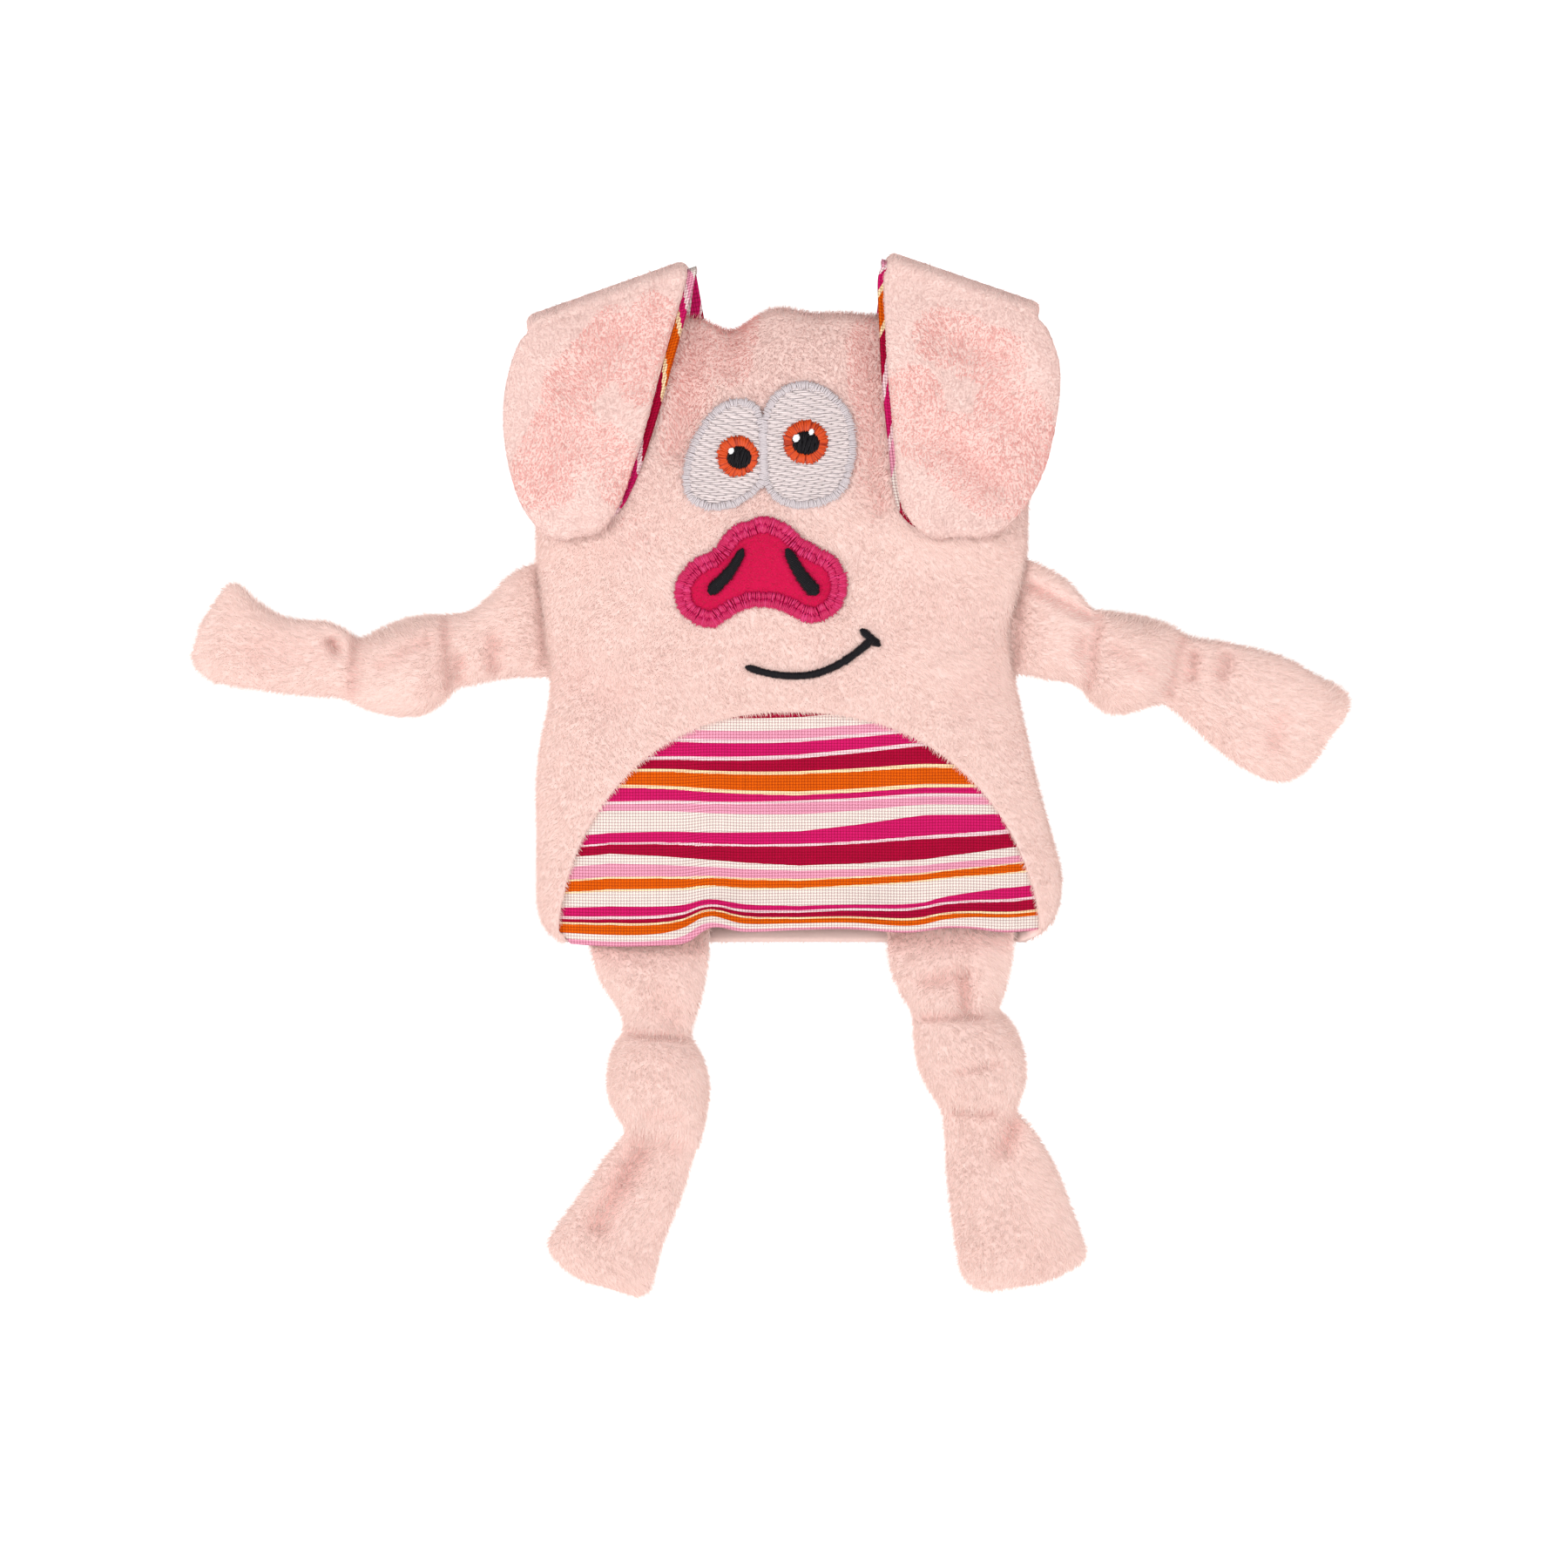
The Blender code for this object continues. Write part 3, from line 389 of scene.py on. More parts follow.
# Plain weave: over-and-under threads from sine hills, in squares of one pitch.
def weaveGroup():
    takes = (("Cloth", "Vector"), ("Threads", "Float"))
    group, start, end = newGroup("plainWeave", takes, ("Height", "PinholeShade"))
    split = group.nodes.new("ShaderNodeSeparateXYZ")
    group.links.new(start.outputs["Cloth"], split.inputs[0])
    waves = []
    for side in (0, 1):
        turns = mathNode(group, "MULTIPLY", split.outputs[side], start.outputs["Threads"])
        waves.append(mathNode(group, "SINE", mathNode(group, "MULTIPLY", turns, math.pi)))
    rises = [mathNode(group, "ABSOLUTE", wave) for wave in waves]
    over = mathNode(group, "GREATER_THAN", mathNode(group, "MULTIPLY", waves[0], waves[1]), 0.0)
    threads = []
    for across, along in ((0, 1), (1, 0)):
        rounded = mathNode(group, "POWER", rises[across], 0.6)
        dipped = mathNode(group, "MULTIPLY_ADD", rises[along], 0.4, 0.6)
        threads.append(mathNode(group, "MULTIPLY", rounded, dipped))
    warp = mathNode(group, "MULTIPLY", threads[0], over)
    under = mathNode(group, "SUBTRACT", 1.0, over)
    height = mathNode(group, "MULTIPLY_ADD", threads[1], under, warp)
    group.links.new(height, end.inputs["Height"])
    # how far below the threads a point lies, given out as painted shade for the pinholes
    low = mathNode(group, "SUBTRACT", 0.74, height)
    pinholeShade = mathNode(group, "MULTIPLY", mathNode(group, "MAXIMUM", low, 0.0), 2.1)
    group.links.new(pinholeShade, end.inputs["PinholeShade"])
    return group


# Mottling: two sizes of noise, added, about one half.
def mottleGroup():
    takes = (("Place", "Vector"), ("Patches", "Float"), ("Specks", "Float"))
    group, start, end = newGroup("mottle", takes, ("Value",))
    parts = []
    for size in ("Patches", "Specks"):
        noise = group.nodes.new("ShaderNodeTexNoise")
        noise.inputs["Detail"].default_value = 3
        group.links.new(start.outputs["Place"], noise.inputs["Vector"])
        group.links.new(start.outputs[size], noise.inputs["Scale"])
        parts.append(noise.outputs["Fac"])
    value = mathNode(group, "MULTIPLY", mathNode(group, "ADD", *parts), 0.5)
    group.links.new(value, end.inputs["Value"])
    return group


weave = weaveGroup()
mottle = mottleGroup()


# A node group fed by a vector and by numbers
def placeGroup(tree, group, vector, **values):
    node = tree.nodes.new("ShaderNodeGroup")
    node.node_tree = group
    tree.links.new(vector, node.inputs[0])
    for name, value in values.items():
        node.inputs[name].default_value = value
    return node


# Fine relief from a height
def addBump(tree, shader, height, distance, strength):
    bump = tree.nodes.new("ShaderNodeBump")
    bump.inputs["Strength"].default_value = strength
    bump.inputs["Distance"].default_value = distance
    tree.links.new(height, bump.inputs["Height"])
    tree.links.new(bump.outputs[0], shader.inputs["Normal"])


# The ground of the plush: mottled, and redder with painted shade where it creases
def plushGround(name, light, deep, crease):
    made, tree, shader = newMaterial(name, 0.95, 0.1)
    place = tree.nodes.new("ShaderNodeTexCoord").outputs["Object"]
    spots = placeGroup(tree, mottle, place, Patches=60.0, Specks=1400.0).outputs["Value"]
    ground = mixColour(tree, spots, colours[light], colours[deep])
    # painted shade: the crease attribute mixes in the redder crease tone
    fold = tree.nodes.new("ShaderNodeAttribute")
    fold.attribute_name = "crease"
    colour = mixColour(tree, fold.outputs["Fac"], ground, colours[crease])
    tree.links.new(colour, shader.inputs["Base Color"])
    addBump(tree, shader, spots, 0.0004, 0.5)
    return made


# Tufts of one colour
def plainPile(name, colour):
    made, _, shader = newMaterial(name, 0.85, 0.2)
    shader.inputs["Base Color"].default_value = colour
    return made


# The band colours as steps of a ramp, read at the cloth's own stripe value
def stripeColour(tree, bands):
    value = tree.nodes.new("ShaderNodeAttribute")
    value.attribute_name = "stripe"
    ramp = tree.nodes.new("ShaderNodeValToRGB")
    ramp.color_ramp.interpolation = "CONSTANT"
    steps = ramp.color_ramp.elements
    for place, band in enumerate(bands):
        step = steps[place] if place < 2 else steps.new(place / len(bands))
        step.position = place / len(bands)
        step.color = colours[band[0]]
    tree.links.new(value.outputs["Fac"], ramp.inputs[0])
    return ramp.outputs[0]


# Woven cotton: mottled, with thick and thin threads both ways, and painted shade in the pinholes of its
# weave.
# The cloth's coordinates are in tenths of a metre.
def cottonMaterial(name, bands=None, plain=None):
    made, tree, shader = newMaterial(name, 0.85, 0.0)
    shader.inputs["Specular IOR Level"].default_value = 0.1
    uv = tree.nodes.new("ShaderNodeUVMap")
    uv.uv_map = "cloth"
    cloth = placeGroup(tree, weave, uv.outputs[0], Threads=100 / belly["threadPitch"])
    ground = stripeColour(tree, bands) if bands else plain
    place = tree.nodes.new("ShaderNodeTexCoord").outputs["Object"]
    spots = placeGroup(tree, mottle, place, Patches=250.0, Specks=2500.0).outputs["Value"]
    worn = mixColour(tree, 0.18, ground, mixColour(tree, spots, grey(0.6), grey(1.0)), "MULTIPLY")
    for across, along in ((1.0, 0.04), (0.04, 1.0)):
        stretch = tree.nodes.new("ShaderNodeMapping")
        stretch.inputs["Scale"].default_value = (across, along, 1.0)
        tree.links.new(uv.outputs[0], stretch.inputs["Vector"])
        slubs = placeGroup(tree, mottle, stretch.outputs[0], Patches=110.0, Specks=190.0).outputs["Value"]
        uneven = mixColour(tree, slubs, grey(0.45), grey(1.4))
        worn = mixColour(tree, 0.35, worn, uneven, "MULTIPLY")
    # painted shade: the pinholes are darkened towards a dark red
    shade = mathNode(tree, "MINIMUM", cloth.outputs["PinholeShade"], 0.7)
    colour = mixColour(tree, shade, worn, (0.42, 0.2, 0.22, 1), "MULTIPLY")
    tree.links.new(colour, shader.inputs["Base Color"])
    addBump(tree, shader, cloth.outputs["Height"], 0.00014, 0.8)
    return made


# Shiny embroidery thread, a little darker in specks
def threadMaterial(name, colour, shine):
    made, tree, shader = newMaterial(name, 0.45, 0.0)
    shader.inputs["Specular IOR Level"].default_value = shine
    place = tree.nodes.new("ShaderNodeTexCoord").outputs["Object"]
    spots = placeGroup(tree, mottle, place, Patches=500.0, Specks=6000.0).outputs["Value"]
    dark = (*[0.78 * v for v in colour[:3]], 1.0)
    tree.links.new(mixColour(tree, spots, dark, colour), shader.inputs["Base Color"])
    addBump(tree, shader, spots, 0.00005, 0.5)
    return made


finishes = {
    "plush": plushGround("plushGround", "plushMiddle", "plushDeep", "plushCreaseShade"),
    "snoutPlush": plushGround("snoutGround", "snoutPlush", "snoutDeep", "snoutDeep"),
    "snoutPile": plainPile("snoutPile", colours["snoutPlush"]),
    "snoutPileDeep": plainPile("snoutPileDeep", colours["snoutDeep"]),
    "stripes": cottonMaterial("stripedCotton", bands=belly["bands"]),
    "lining": cottonMaterial("liningCotton", plain=colours["lining"]),
    "backing": cottonMaterial("stabiliser", plain=colours["backing"]),
}
for tone in ("Light", "Middle", "Deep", "CreaseShade"):
    finishes["pile" + tone] = plainPile("pile" + tone, colours["plush" + tone])
for thread in ("eyeThread", "eyeEdge", "iris", "irisDark", "black", "glint", "snoutThread", "snoutPale"):
    shine = 0.12 if thread == "black" else 0.35
    finishes[thread] = threadMaterial(thread + "Silk", colours[thread], shine)
print("materials made")


# Rows of vectors, each made one long
def unit(vectors):
    return vectors / np.maximum(np.linalg.norm(vectors, axis=-1, keepdims=True), 1e-9)


# One at no distance, falling off as a bell curve of the given width
def bell(distance, width):
    return np.exp(-((distance / width) ** 2))


# A quarter circle: rises steeply from 0 and is level at 1
def quarterRound(share):
    return np.sqrt(np.clip(1 - (1 - np.clip(share, 0, 1)) ** 2, 0, 1))


# Catmull-Rom curve through the rows, read at evenly spaced steps
def curve(rows, count, closed=False):
    rows = np.array(rows, float)
    if closed:
        padded = np.vstack([rows[-1], rows, rows[0], rows[1]])
        at = np.linspace(0, len(rows), count, endpoint=False)
        step = at.astype(int)
    else:
        padded = np.vstack([2 * rows[0] - rows[1], rows, 2 * rows[-1] - rows[-2]])
        at = np.linspace(0, len(rows) - 1, count)
        step = np.minimum(at.astype(int), len(rows) - 2)
    t = (at - step)[:, None]
    a, b, c, d = (padded[step + k] for k in range(4))
    return 0.5 * (2 * b + (c - a) * t + (2 * a - 5 * b + 4 * c - d) * t**2 + (3 * b - a - 3 * c + d) * t**3)


# The same curve, read again at equal lengths along it
def evenly(points, spacing, closed=False):
    if closed:
        points = np.vstack([points, points[:1]])
    lengths = np.concatenate([[0], np.cumsum(np.linalg.norm(np.diff(points, axis=0), axis=1))])
    count = max(int(round(lengths[-1] / spacing)), 2)
    at = np.linspace(0, lengths[-1], count, endpoint=not closed)
    return np.stack([np.interp(at, lengths, points[:, k]) for k in range(points.shape[1])], axis=1)


# Volume as cones from the origin to each face, above nought when the faces point outwards
def signedVolume(verts, faces):
    total = 0.0
    for quads in faces:
        first = verts[quads[:, 0]]
        for k in range(1, quads.shape[1] - 1):
            total += (first * np.cross(verts[quads[:, k]], verts[quads[:, k + 1]])).sum() / 6
    return total


# Points in millimetres and groups of faces, made a mesh whose faces point outwards.
# Only the first groups are shaded smooth: rims and caps stay flat, so that they don't bend the shading.
def newPiece(name, verts, faces, materials, slots=None, values=None, cloth=None, smooth=None):
    if signedVolume(verts, faces) < 0:
        faces = [f[:, ::-1] for f in faces]
    corners = np.concatenate([f.ravel() for f in faces]).astype(np.int32)
    sizes = np.concatenate([np.full(len(f), f.shape[1]) for f in faces])
    starts = np.concatenate([[0], np.cumsum(sizes)[:-1]]).astype(np.int32)
    mesh = bpy.data.meshes.new(name)
    mesh.vertices.add(len(verts))
    mesh.vertices.foreach_set("co", (verts * mm).astype(np.float32).ravel())
    mesh.loops.add(len(corners))
    mesh.loops.foreach_set("vertex_index", corners)
    mesh.polygons.add(len(sizes))
    mesh.polygons.foreach_set("loop_start", starts)
    for material in materials:
        mesh.materials.append(finishes[material])
    if slots is not None:
        mesh.polygons.foreach_set("material_index", slots.astype(np.int32))
    mesh.update(calc_edges=True)
    rounded = len(sizes) if smooth is None else sum(len(f) for f in faces[:smooth])
    mesh.polygons.foreach_set("use_smooth", np.arange(len(sizes)) < rounded)
    for key, numbers in (values or {}).items():
        mesh.attributes.new(key, "FLOAT", "POINT").data.foreach_set("value", numbers.astype(np.float32))
    if cloth is not None:
        layer = mesh.uv_layers.new(name="cloth")
        layer.data.foreach_set("uv", cloth[corners].astype(np.float32).ravel())
    piece = bpy.data.objects.new(name, mesh)
    bpy.context.scene.collection.objects.link(piece)
    return piece


# A front grid and a back grid, joined all round their rims into one closed body
def shell(name, front, back, material, values=None, cloth=None):
    rows, columns = front.shape[:2]
    count = rows * columns
    place = np.arange(count).reshape(rows, columns)
    a, b, c, d = place[:-1, :-1], place[:-1, 1:], place[1:, 1:], place[1:, :-1]
    near = np.stack([a, b, c, d], -1).reshape(-1, 4)
    faces = [near, near[:, ::-1] + count]
    for line in (place[0, ::-1], place[-1], place[:, 0], place[::-1, -1]):
        p, q = line[:-1], line[1:]
        faces.append(np.stack([p, q, q + count, p + count], -1))
    verts = np.concatenate([front.reshape(-1, 3), back.reshape(-1, 3)])
    doubled = {key: np.tile(v.ravel(), 2) for key, v in (values or {}).items()}
    if cloth is not None:
        cloth = np.tile(cloth.reshape(-1, 2), (2, 1))
    return newPiece(name, verts, faces, [material], values=doubled, cloth=cloth, smooth=2)


# Four-sided faces between each closed ring of points and the next
def ringWalls(place):
    after = np.roll(place, -1, axis=-1)
    corners = (place[..., :-1, :], after[..., :-1, :], after[..., 1:, :], place[..., 1:, :])
    return np.stack(corners, -1).reshape(-1, 4)


# Three-sided faces from a closed ring to one point
def fan(ring, hub):
    return np.stack([np.roll(ring, -1), ring, np.full(len(ring), hub)], -1)


# Rings closed round and capped by a fan at each end
def tube(name, rings, material, values=None):
    rows, sides = rings.shape[:2]
    place = np.arange(rows * sides).reshape(rows, sides)
    verts = np.concatenate([rings.reshape(-1, 3), rings[[0, -1]].mean(axis=1)])
    faces = [ringWalls(place), fan(place[0], rows * sides), fan(place[-1], rows * sides + 1)[:, [1, 0, 2]]]
    padded = {}
    for key, numbers in (values or {}).items():
        padded[key] = np.concatenate([numbers.ravel(), numbers[[0, -1]].mean(axis=1)])
    return newPiece(name, verts, faces, [material], values=padded, smooth=1)


# Rings about a middle, front and back, closed at the middle and the rim
def discShell(name, rings, thick, material):
    rows, sides = rings.shape[:2]
    count = rows * sides
    place = np.arange(count).reshape(rows, sides)
    back = rings + np.array([0, thick, 0])
    middles = np.stack([rings[0].mean(axis=0), back[0].mean(axis=0)])
    verts = np.concatenate([rings.reshape(-1, 3), back.reshape(-1, 3), middles])
    walls = ringWalls(place)
    rim = ringWalls(np.stack([place[-1], place[-1] + count]))
    faces = [walls, walls[:, ::-1] + count, fan(place[0], 2 * count)]
    faces += [fan(place[0] + count, 2 * count + 1)[:, [1, 0, 2]], rim]
    return newPiece(name, verts, faces, [material], values={"crease": np.zeros(len(verts))})


# Smooth hills about zero: six sine waves in seeded directions
def hills(x, z, size, seed):
    draw = np.random.default_rng(seed)
    total = np.zeros_like(x, dtype=float)
    for _ in range(6):
        turn, phase = draw.uniform(0, 2 * math.pi, 2)
        wave = 2 * math.pi / (size * draw.uniform(0.7, 1.5))
        total += np.sin((x * math.cos(turn) + z * math.sin(turn)) * wave + phase)
    return total / 3


# How deep the hollows press at a point, and how much painted shade reddens it there: bell curves about each
# one's line
def pressed(x, z, hollows):
    depth = np.zeros_like(x, dtype=float)
    colour = np.zeros_like(x, dtype=float)
    for ax, az, bx, bz, width, deep in hollows:
        run = (bx - ax) ** 2 + (bz - az) ** 2
        t = np.clip(((x - ax) * (bx - ax) + (z - az) * (bz - az)) / run, 0, 1)
        near = bell(np.hypot(x - ax - t * (bx - ax), z - az - t * (bz - az)), width)
        depth += deep * near
        colour = np.maximum(colour, near * min(deep / 2.2, 1) * (0.6 if width < 3.3 else 0.4))
    return depth, colour


# Even sampling: each quad of a grid gets its area times the density, in tufts
def scatter(grid, density, draw, values):
    a, b, c, d = grid[:-1, :-1], grid[:-1, 1:], grid[1:, 1:], grid[1:, :-1]
    cross = np.cross(c - a, d - b) / 2
    area = np.linalg.norm(cross, axis=-1)
    amount = area * density
    counts = np.floor(amount + draw.random(amount.shape)).astype(int).ravel()
    which = np.repeat(np.arange(counts.size), counts)
    u, v = draw.random(len(which))[:, None], draw.random(len(which))[:, None]

    def read(corner):
        return corner.reshape(counts.size, -1)[which]

    points = (read(a) * (1 - u) + read(b) * u) * (1 - v) + (read(d) * (1 - u) + read(c) * u) * v
    normals = read(cross / np.maximum(area, 1e-9)[..., None])
    return points, normals, read(values[:-1, :-1])[:, 0]


# Each tuft is a thin leaning spike: a three-sided base sunk in the cloth, and a tip.
def tufts(name, points, normals, nap, crease, seed, length=1.0, shades=None, lean=0.9, paintedShade=0.0):
    draw = np.random.default_rng(seed)
    paintedShade = np.broadcast_to(paintedShade, len(points))
    if len(points) > pile["most"]:
        chosen = np.sort(draw.choice(len(points), pile["most"], replace=False))
        points, normals, crease = points[chosen], normals[chosen], crease[chosen]
        nap, paintedShade = nap[chosen], paintedShade[chosen]
    count = len(points)
    # the nap lies along the cloth
    nap = nap - normals * (nap * normals).sum(axis=1, keepdims=True)
    stray = draw.normal(0, 0.24, (count, 3))
    rise = draw.uniform(0.3, 1.35, (count, 1)) ** 1.3
    heading = unit(normals * rise + nap * lean + stray)
    long = (pile["length"] * length * draw.uniform(0.65, 1.2, count))[:, None]
    side = unit(np.cross(heading, normals + 0.3 * draw.normal(0, 1, (count, 3))))
    other = np.cross(heading, side)
    wide = (pile["width"] * draw.uniform(0.7, 1.3, count))[:, None]
    root = points - normals * 0.15
    corners = [root + wide * (math.cos(t) * side + 0.7 * math.sin(t) * other) for t in (0.0, 2.1, 4.2)]
    verts = np.stack([*corners, root + heading * long], axis=1).reshape(-1, 3)
    start = np.arange(count)[:, None] * 4
    faces = np.concatenate([start + np.array(f) for f in ((0, 1, 3), (1, 2, 3), (2, 0, 3), (2, 1, 0))])
    shades = shades or ["pileLight", "pileMiddle", "pileDeep", "pileCreaseShade"]
    x, z = points[:, 0], points[:, 2]
    patches = 0.16 * hills(x, z, 17.0, 97) + 0.10 * hills(x, z, 5.0, 98)
    # a tuft's tone: random and in patches, then pushed darker or lighter by painted shade, and to the crease
    # tone by painted crease shade
    luck = np.minimum(draw.random(count) + patches + paintedShade, 1.05) + 0.75 * crease
    shade = np.digitize(luck, (0.42, 0.86, 1.06)[: len(shades) - 1])
    return newPiece(name, verts, [faces], shades, slots=np.tile(shade, 4), smooth=0)


# Tufts in zones one above another, so that no piece grows too big
def tuftZones(name, cuts, points, normals, nap, crease, seed, paintedShade):
    zones = np.digitize(points[:, 2], cuts)
    piles = []
    for zone in range(len(cuts) + 1):
        mine = zones == zone
        parts = (part[mine] for part in (points, normals, nap, crease))
        piles.append(tufts(f"{name}{zone + 1}", *parts, seed + zone, paintedShade=paintedShade[mine]))
    return piles


# The way the pile lies: mostly down, brushed about in patches
def brushed(points, way, seed, swirl=0.5):
    x, z = points[:, 0], points[:, 2]
    nap = np.tile(np.array(way, float), (len(points), 1))
    nap[:, 0] += swirl * hills(x, z, 26.0, seed)
    nap[:, 2] += 0.6 * swirl * hills(x, z, 19.0, seed + 1)
    return nap


edgeTable = curve(pouch["edges"], 240)


# x of the pouch's left and right edge at a height
def edgesAt(z):
    return np.interp(z, edgeTable[:, 0], edgeTable[:, 1]), np.interp(z, edgeTable[:, 0], edgeTable[:, 2])


# Fullness, 1 in the middle and 0 at the seams: one less a power of the share of the way to the edge,
# easing off towards the top seam and a little towards the hem
def swell(x, z):
    left, right = edgesAt(z)
    across = np.clip(np.abs(2 * x - left - right) / (right - left), 0, 1)
    rise = np.clip((z - pouch["widestZ"]) / (pouch["top"] - pouch["widestZ"]), 0, 1)
    up = (1 - rise**3) ** 0.6 - 0.12 * np.clip((pouch["widestZ"] - z) / pouch["widestZ"], 0, 2) ** 2
    return (1 - across**2.4) ** 0.55 * up


# Thickness rolls off as a quarter circle near the side edges and the top seam
def rolled(x, z):
    left, right = edgesAt(z)
    inward = np.minimum(np.minimum(x - left, right - x), pouch["top"] - z)
    return quarterRound(inward / pouch["roll"])


# From the seam forward by the plush's thickness and the fullness, with hollows and low lumps
def frontOuter(x, z):
    depth, _ = pressed(x, z, pouch["hollows"])
    lumps = 0.55 * hills(x, z, 34.0, 5) * np.clip(swell(x, z) * 1.5, 0, 1)
    thick = pouch["thick"] * rolled(x, z)
    return pouch["seamY"] - 0.15 - thick - pouch["frontRise"] * swell(x, z) + depth * 0.8 + lumps


# The same fullness without the plush
def frontInner(x, z):
    return pouch["seamY"] - 0.15 - (pouch["frontRise"] - 0.4) * swell(x, z)


# From the seam back in the same way, then flattened where it lies: a soft least of the two levels
def backOuter(x, z):
    full = pouch["seamY"] + 0.15 + pouch["thick"] * rolled(x, z) + pouch["backRise"] * swell(x, z)
    level = pouch["backFlatY"] + 0.25 * hills(x, z, 40.0, 9)
    soft = 0.8
    return -soft * np.log(np.exp(-full / soft) + np.exp(-level / soft))


# Half width of the arch as a share, from a superellipse
def archHalf(z):
    return (1 - np.clip(z / arch["top"], 0, 1) ** arch["power"]) ** arch["root"]


hemTable = curve(belly["hem"], 160)


# Height of the cotton's cut hem
def hemAt(x):
    return np.interp(x, hemTable[:, 0], hemTable[:, 1])


# How far the top seam dips: bell curves, added
def topAt(x):
    return sum(depth * bell(x - place, width) for place, width, depth in pouch["topDips"])


# Columns run up from the arch, or from the hem beside it, to the top seam; x keeps its share of the width
def frontPlan():
    beside = 8
    turn = np.linspace(0, math.pi, 190)
    height = np.sin(turn) * arch["top"]
    x = arch["middle"] + np.where(turn < math.pi / 2, -arch["left"], arch["right"]) * archHalf(height)
    low = np.maximum(height, 0) + 0.3
    left, right = edgesAt(low)
    share = (x - left) / (right - left)
    low[0] = low[-1] = pouch["hemZ"]
    bandLeft = np.linspace(0, share[0], beside + 1)[:-1]
    bandRight = np.linspace(share[-1], 1, beside + 1)[1:]
    band = np.full(beside, pouch["hemZ"])
    return np.concatenate([bandLeft, share, bandRight]), np.concatenate([band, low, band])


# x and z of each column's rows, and z again with the top seam's dips
def pouchGrid(shares, lows, rows):
    v = np.linspace(0, 1, rows)[:, None]
    z = lows[None, :] * (1 - v) + pouch["top"] * v
    left, right = edgesAt(z)
    x = left + shares[None, :] * (right - left)
    near = np.clip((z - 110) / (pouch["top"] - 110), 0, 1) ** 2
    return x, z, z - topAt(x) * near


# The pouch's surface above the arch; its cut edge turns in towards the belly cloth as a quarter circle
def buildFront():
    shares, lows = frontPlan()
    x, zFull, z = pouchGrid(shares, lows, 190)
    outer = frontOuter(x, zFull)
    inner = np.maximum(frontInner(x, zFull), outer + 0.25)
    outer = outer + 0.9 * (1 - quarterRound((zFull - lows[None, :]) / 1.6))
    # painted shade in the hollows, carried as the crease attribute
    colour = pressed(x, zFull, pouch["hollows"])[1] * 0.6
    front = np.stack([x, outer, z], -1)
    piece = shell("plushFront", front, np.stack([x, inner, z], -1), "plush", {"crease": colour})
    draw = np.random.default_rng(11)
    points, normals, crease = scatter(front, pile["frontDensity"], draw, colour)
    normals *= -np.sign(normals[:, 1:2])
    # bare under the stitched face
    bare = insideAny(points[:, [0, 2]], [face["leftEye"], face["rightEye"], face["snout"]])
    points, normals, crease = points[~bare], normals[~bare], crease[~bare]
    nap = brushed(points, (0.15, 0.0, -0.9), 21)
    # painted shade: higher up the forehead the tufts lean to the darker tones; lower down a little lighter
    foreheadShade = 1.05 * np.clip((points[:, 2] - 84) / 36, 0, 1) - 0.15
    return piece, tuftZones("frontPile", (52.0, 92.0), points, normals, nap, crease, 31, foreheadShade)


# True where a point lies within any of the closed outlines, by counting the edges to its right
def insideAny(points, outlines):
    found = np.zeros(len(points), bool)
    for outline in outlines:
        loop = curve(outline, 60, closed=True)
        ahead = np.roll(loop, -1, axis=0)
        odd = np.zeros(len(points), bool)
        for (ax, az), (bx, bz) in zip(loop, ahead):
            crosses = (az > points[:, 1]) != (bz > points[:, 1])
            reach = ax + (points[:, 1] - az) * (bx - ax) / (bz - az if bz != az else 1e-9)
            odd ^= crosses & (points[:, 0] < reach)
        found |= odd
    return found


# The back of the pouch, its hem hanging in towards the front and rippled by a sine wave
def buildBack():
    shares = 0.5 - 0.5 * np.cos(np.linspace(0, math.pi, 90))
    x, zFull, z = pouchGrid(shares, np.full(90, pouch["hemZ"] - 0.4), 120)
    outer = backOuter(x, zFull)
    inner = np.minimum(outer - 0.3, outer - pouch["thick"] * rolled(x, zFull) + 0.3)
    nearHem = bell(zFull - pouch["hemZ"], 5.5)
    corner = np.clip((np.abs(x - 1) - 48.5) / 2.5, 0, 1)
    ripple = (0.3 * np.sin(x / 6.0) - np.maximum(outer - 3.4 + 4.2 * corner, 0)) * nearHem
    back = np.stack([x, outer + ripple, z], -1)
    colour = np.zeros_like(x)
    piece = shell("plushBack", back, np.stack([x, inner + ripple, z], -1), "plush", {"crease": colour})
    draw = np.random.default_rng(12)
    points, normals, crease = scatter(back, pile["backDensity"], draw, colour)
    normals *= np.sign(normals[:, 1:2])
    nap = brushed(points, (-0.1, 0.0, -0.9), 23)
    plain = np.zeros(len(points))
    return piece, tuftZones("backPile", (66.0,), points, normals, nap, crease, 41, plain)


# The bands' edges pile up from the hem; a point's value is its band's number plus its share of the band
def bandValue(station, level):
    widths = np.stack([np.interp(station, belly["stations"], row[1:]) for row in belly["bands"]])
    bottoms = np.cumsum(widths, axis=0) - widths
    shares = np.clip((level[None] - bottoms) / widths, 0, 1)
    return np.clip(shares.sum(axis=0), 0, len(widths) - 0.01) / len(widths)


# Height above the hem, less the fold's lift and a slow wander; the hem's own shape fades out above it
def stripeValue(x, z):
    place, width, rise, fade = belly["bump"]
    level = np.interp(x, *np.array(belly["level"]).T)
    hem = level + (hemAt(x) - level) * bell(np.maximum(z - level, 0), 9.0)
    above = np.maximum(z - hem, 0)
    lift = rise * bell(x - place, width) * bell(above, fade) * np.clip(above / 3, 0, 1)
    wander = 0.22 * hills(x, z * 0.3, 30.0, 7) * np.clip(above / 6, 0, 1)
    return bandValue(x, above - lift - wander)


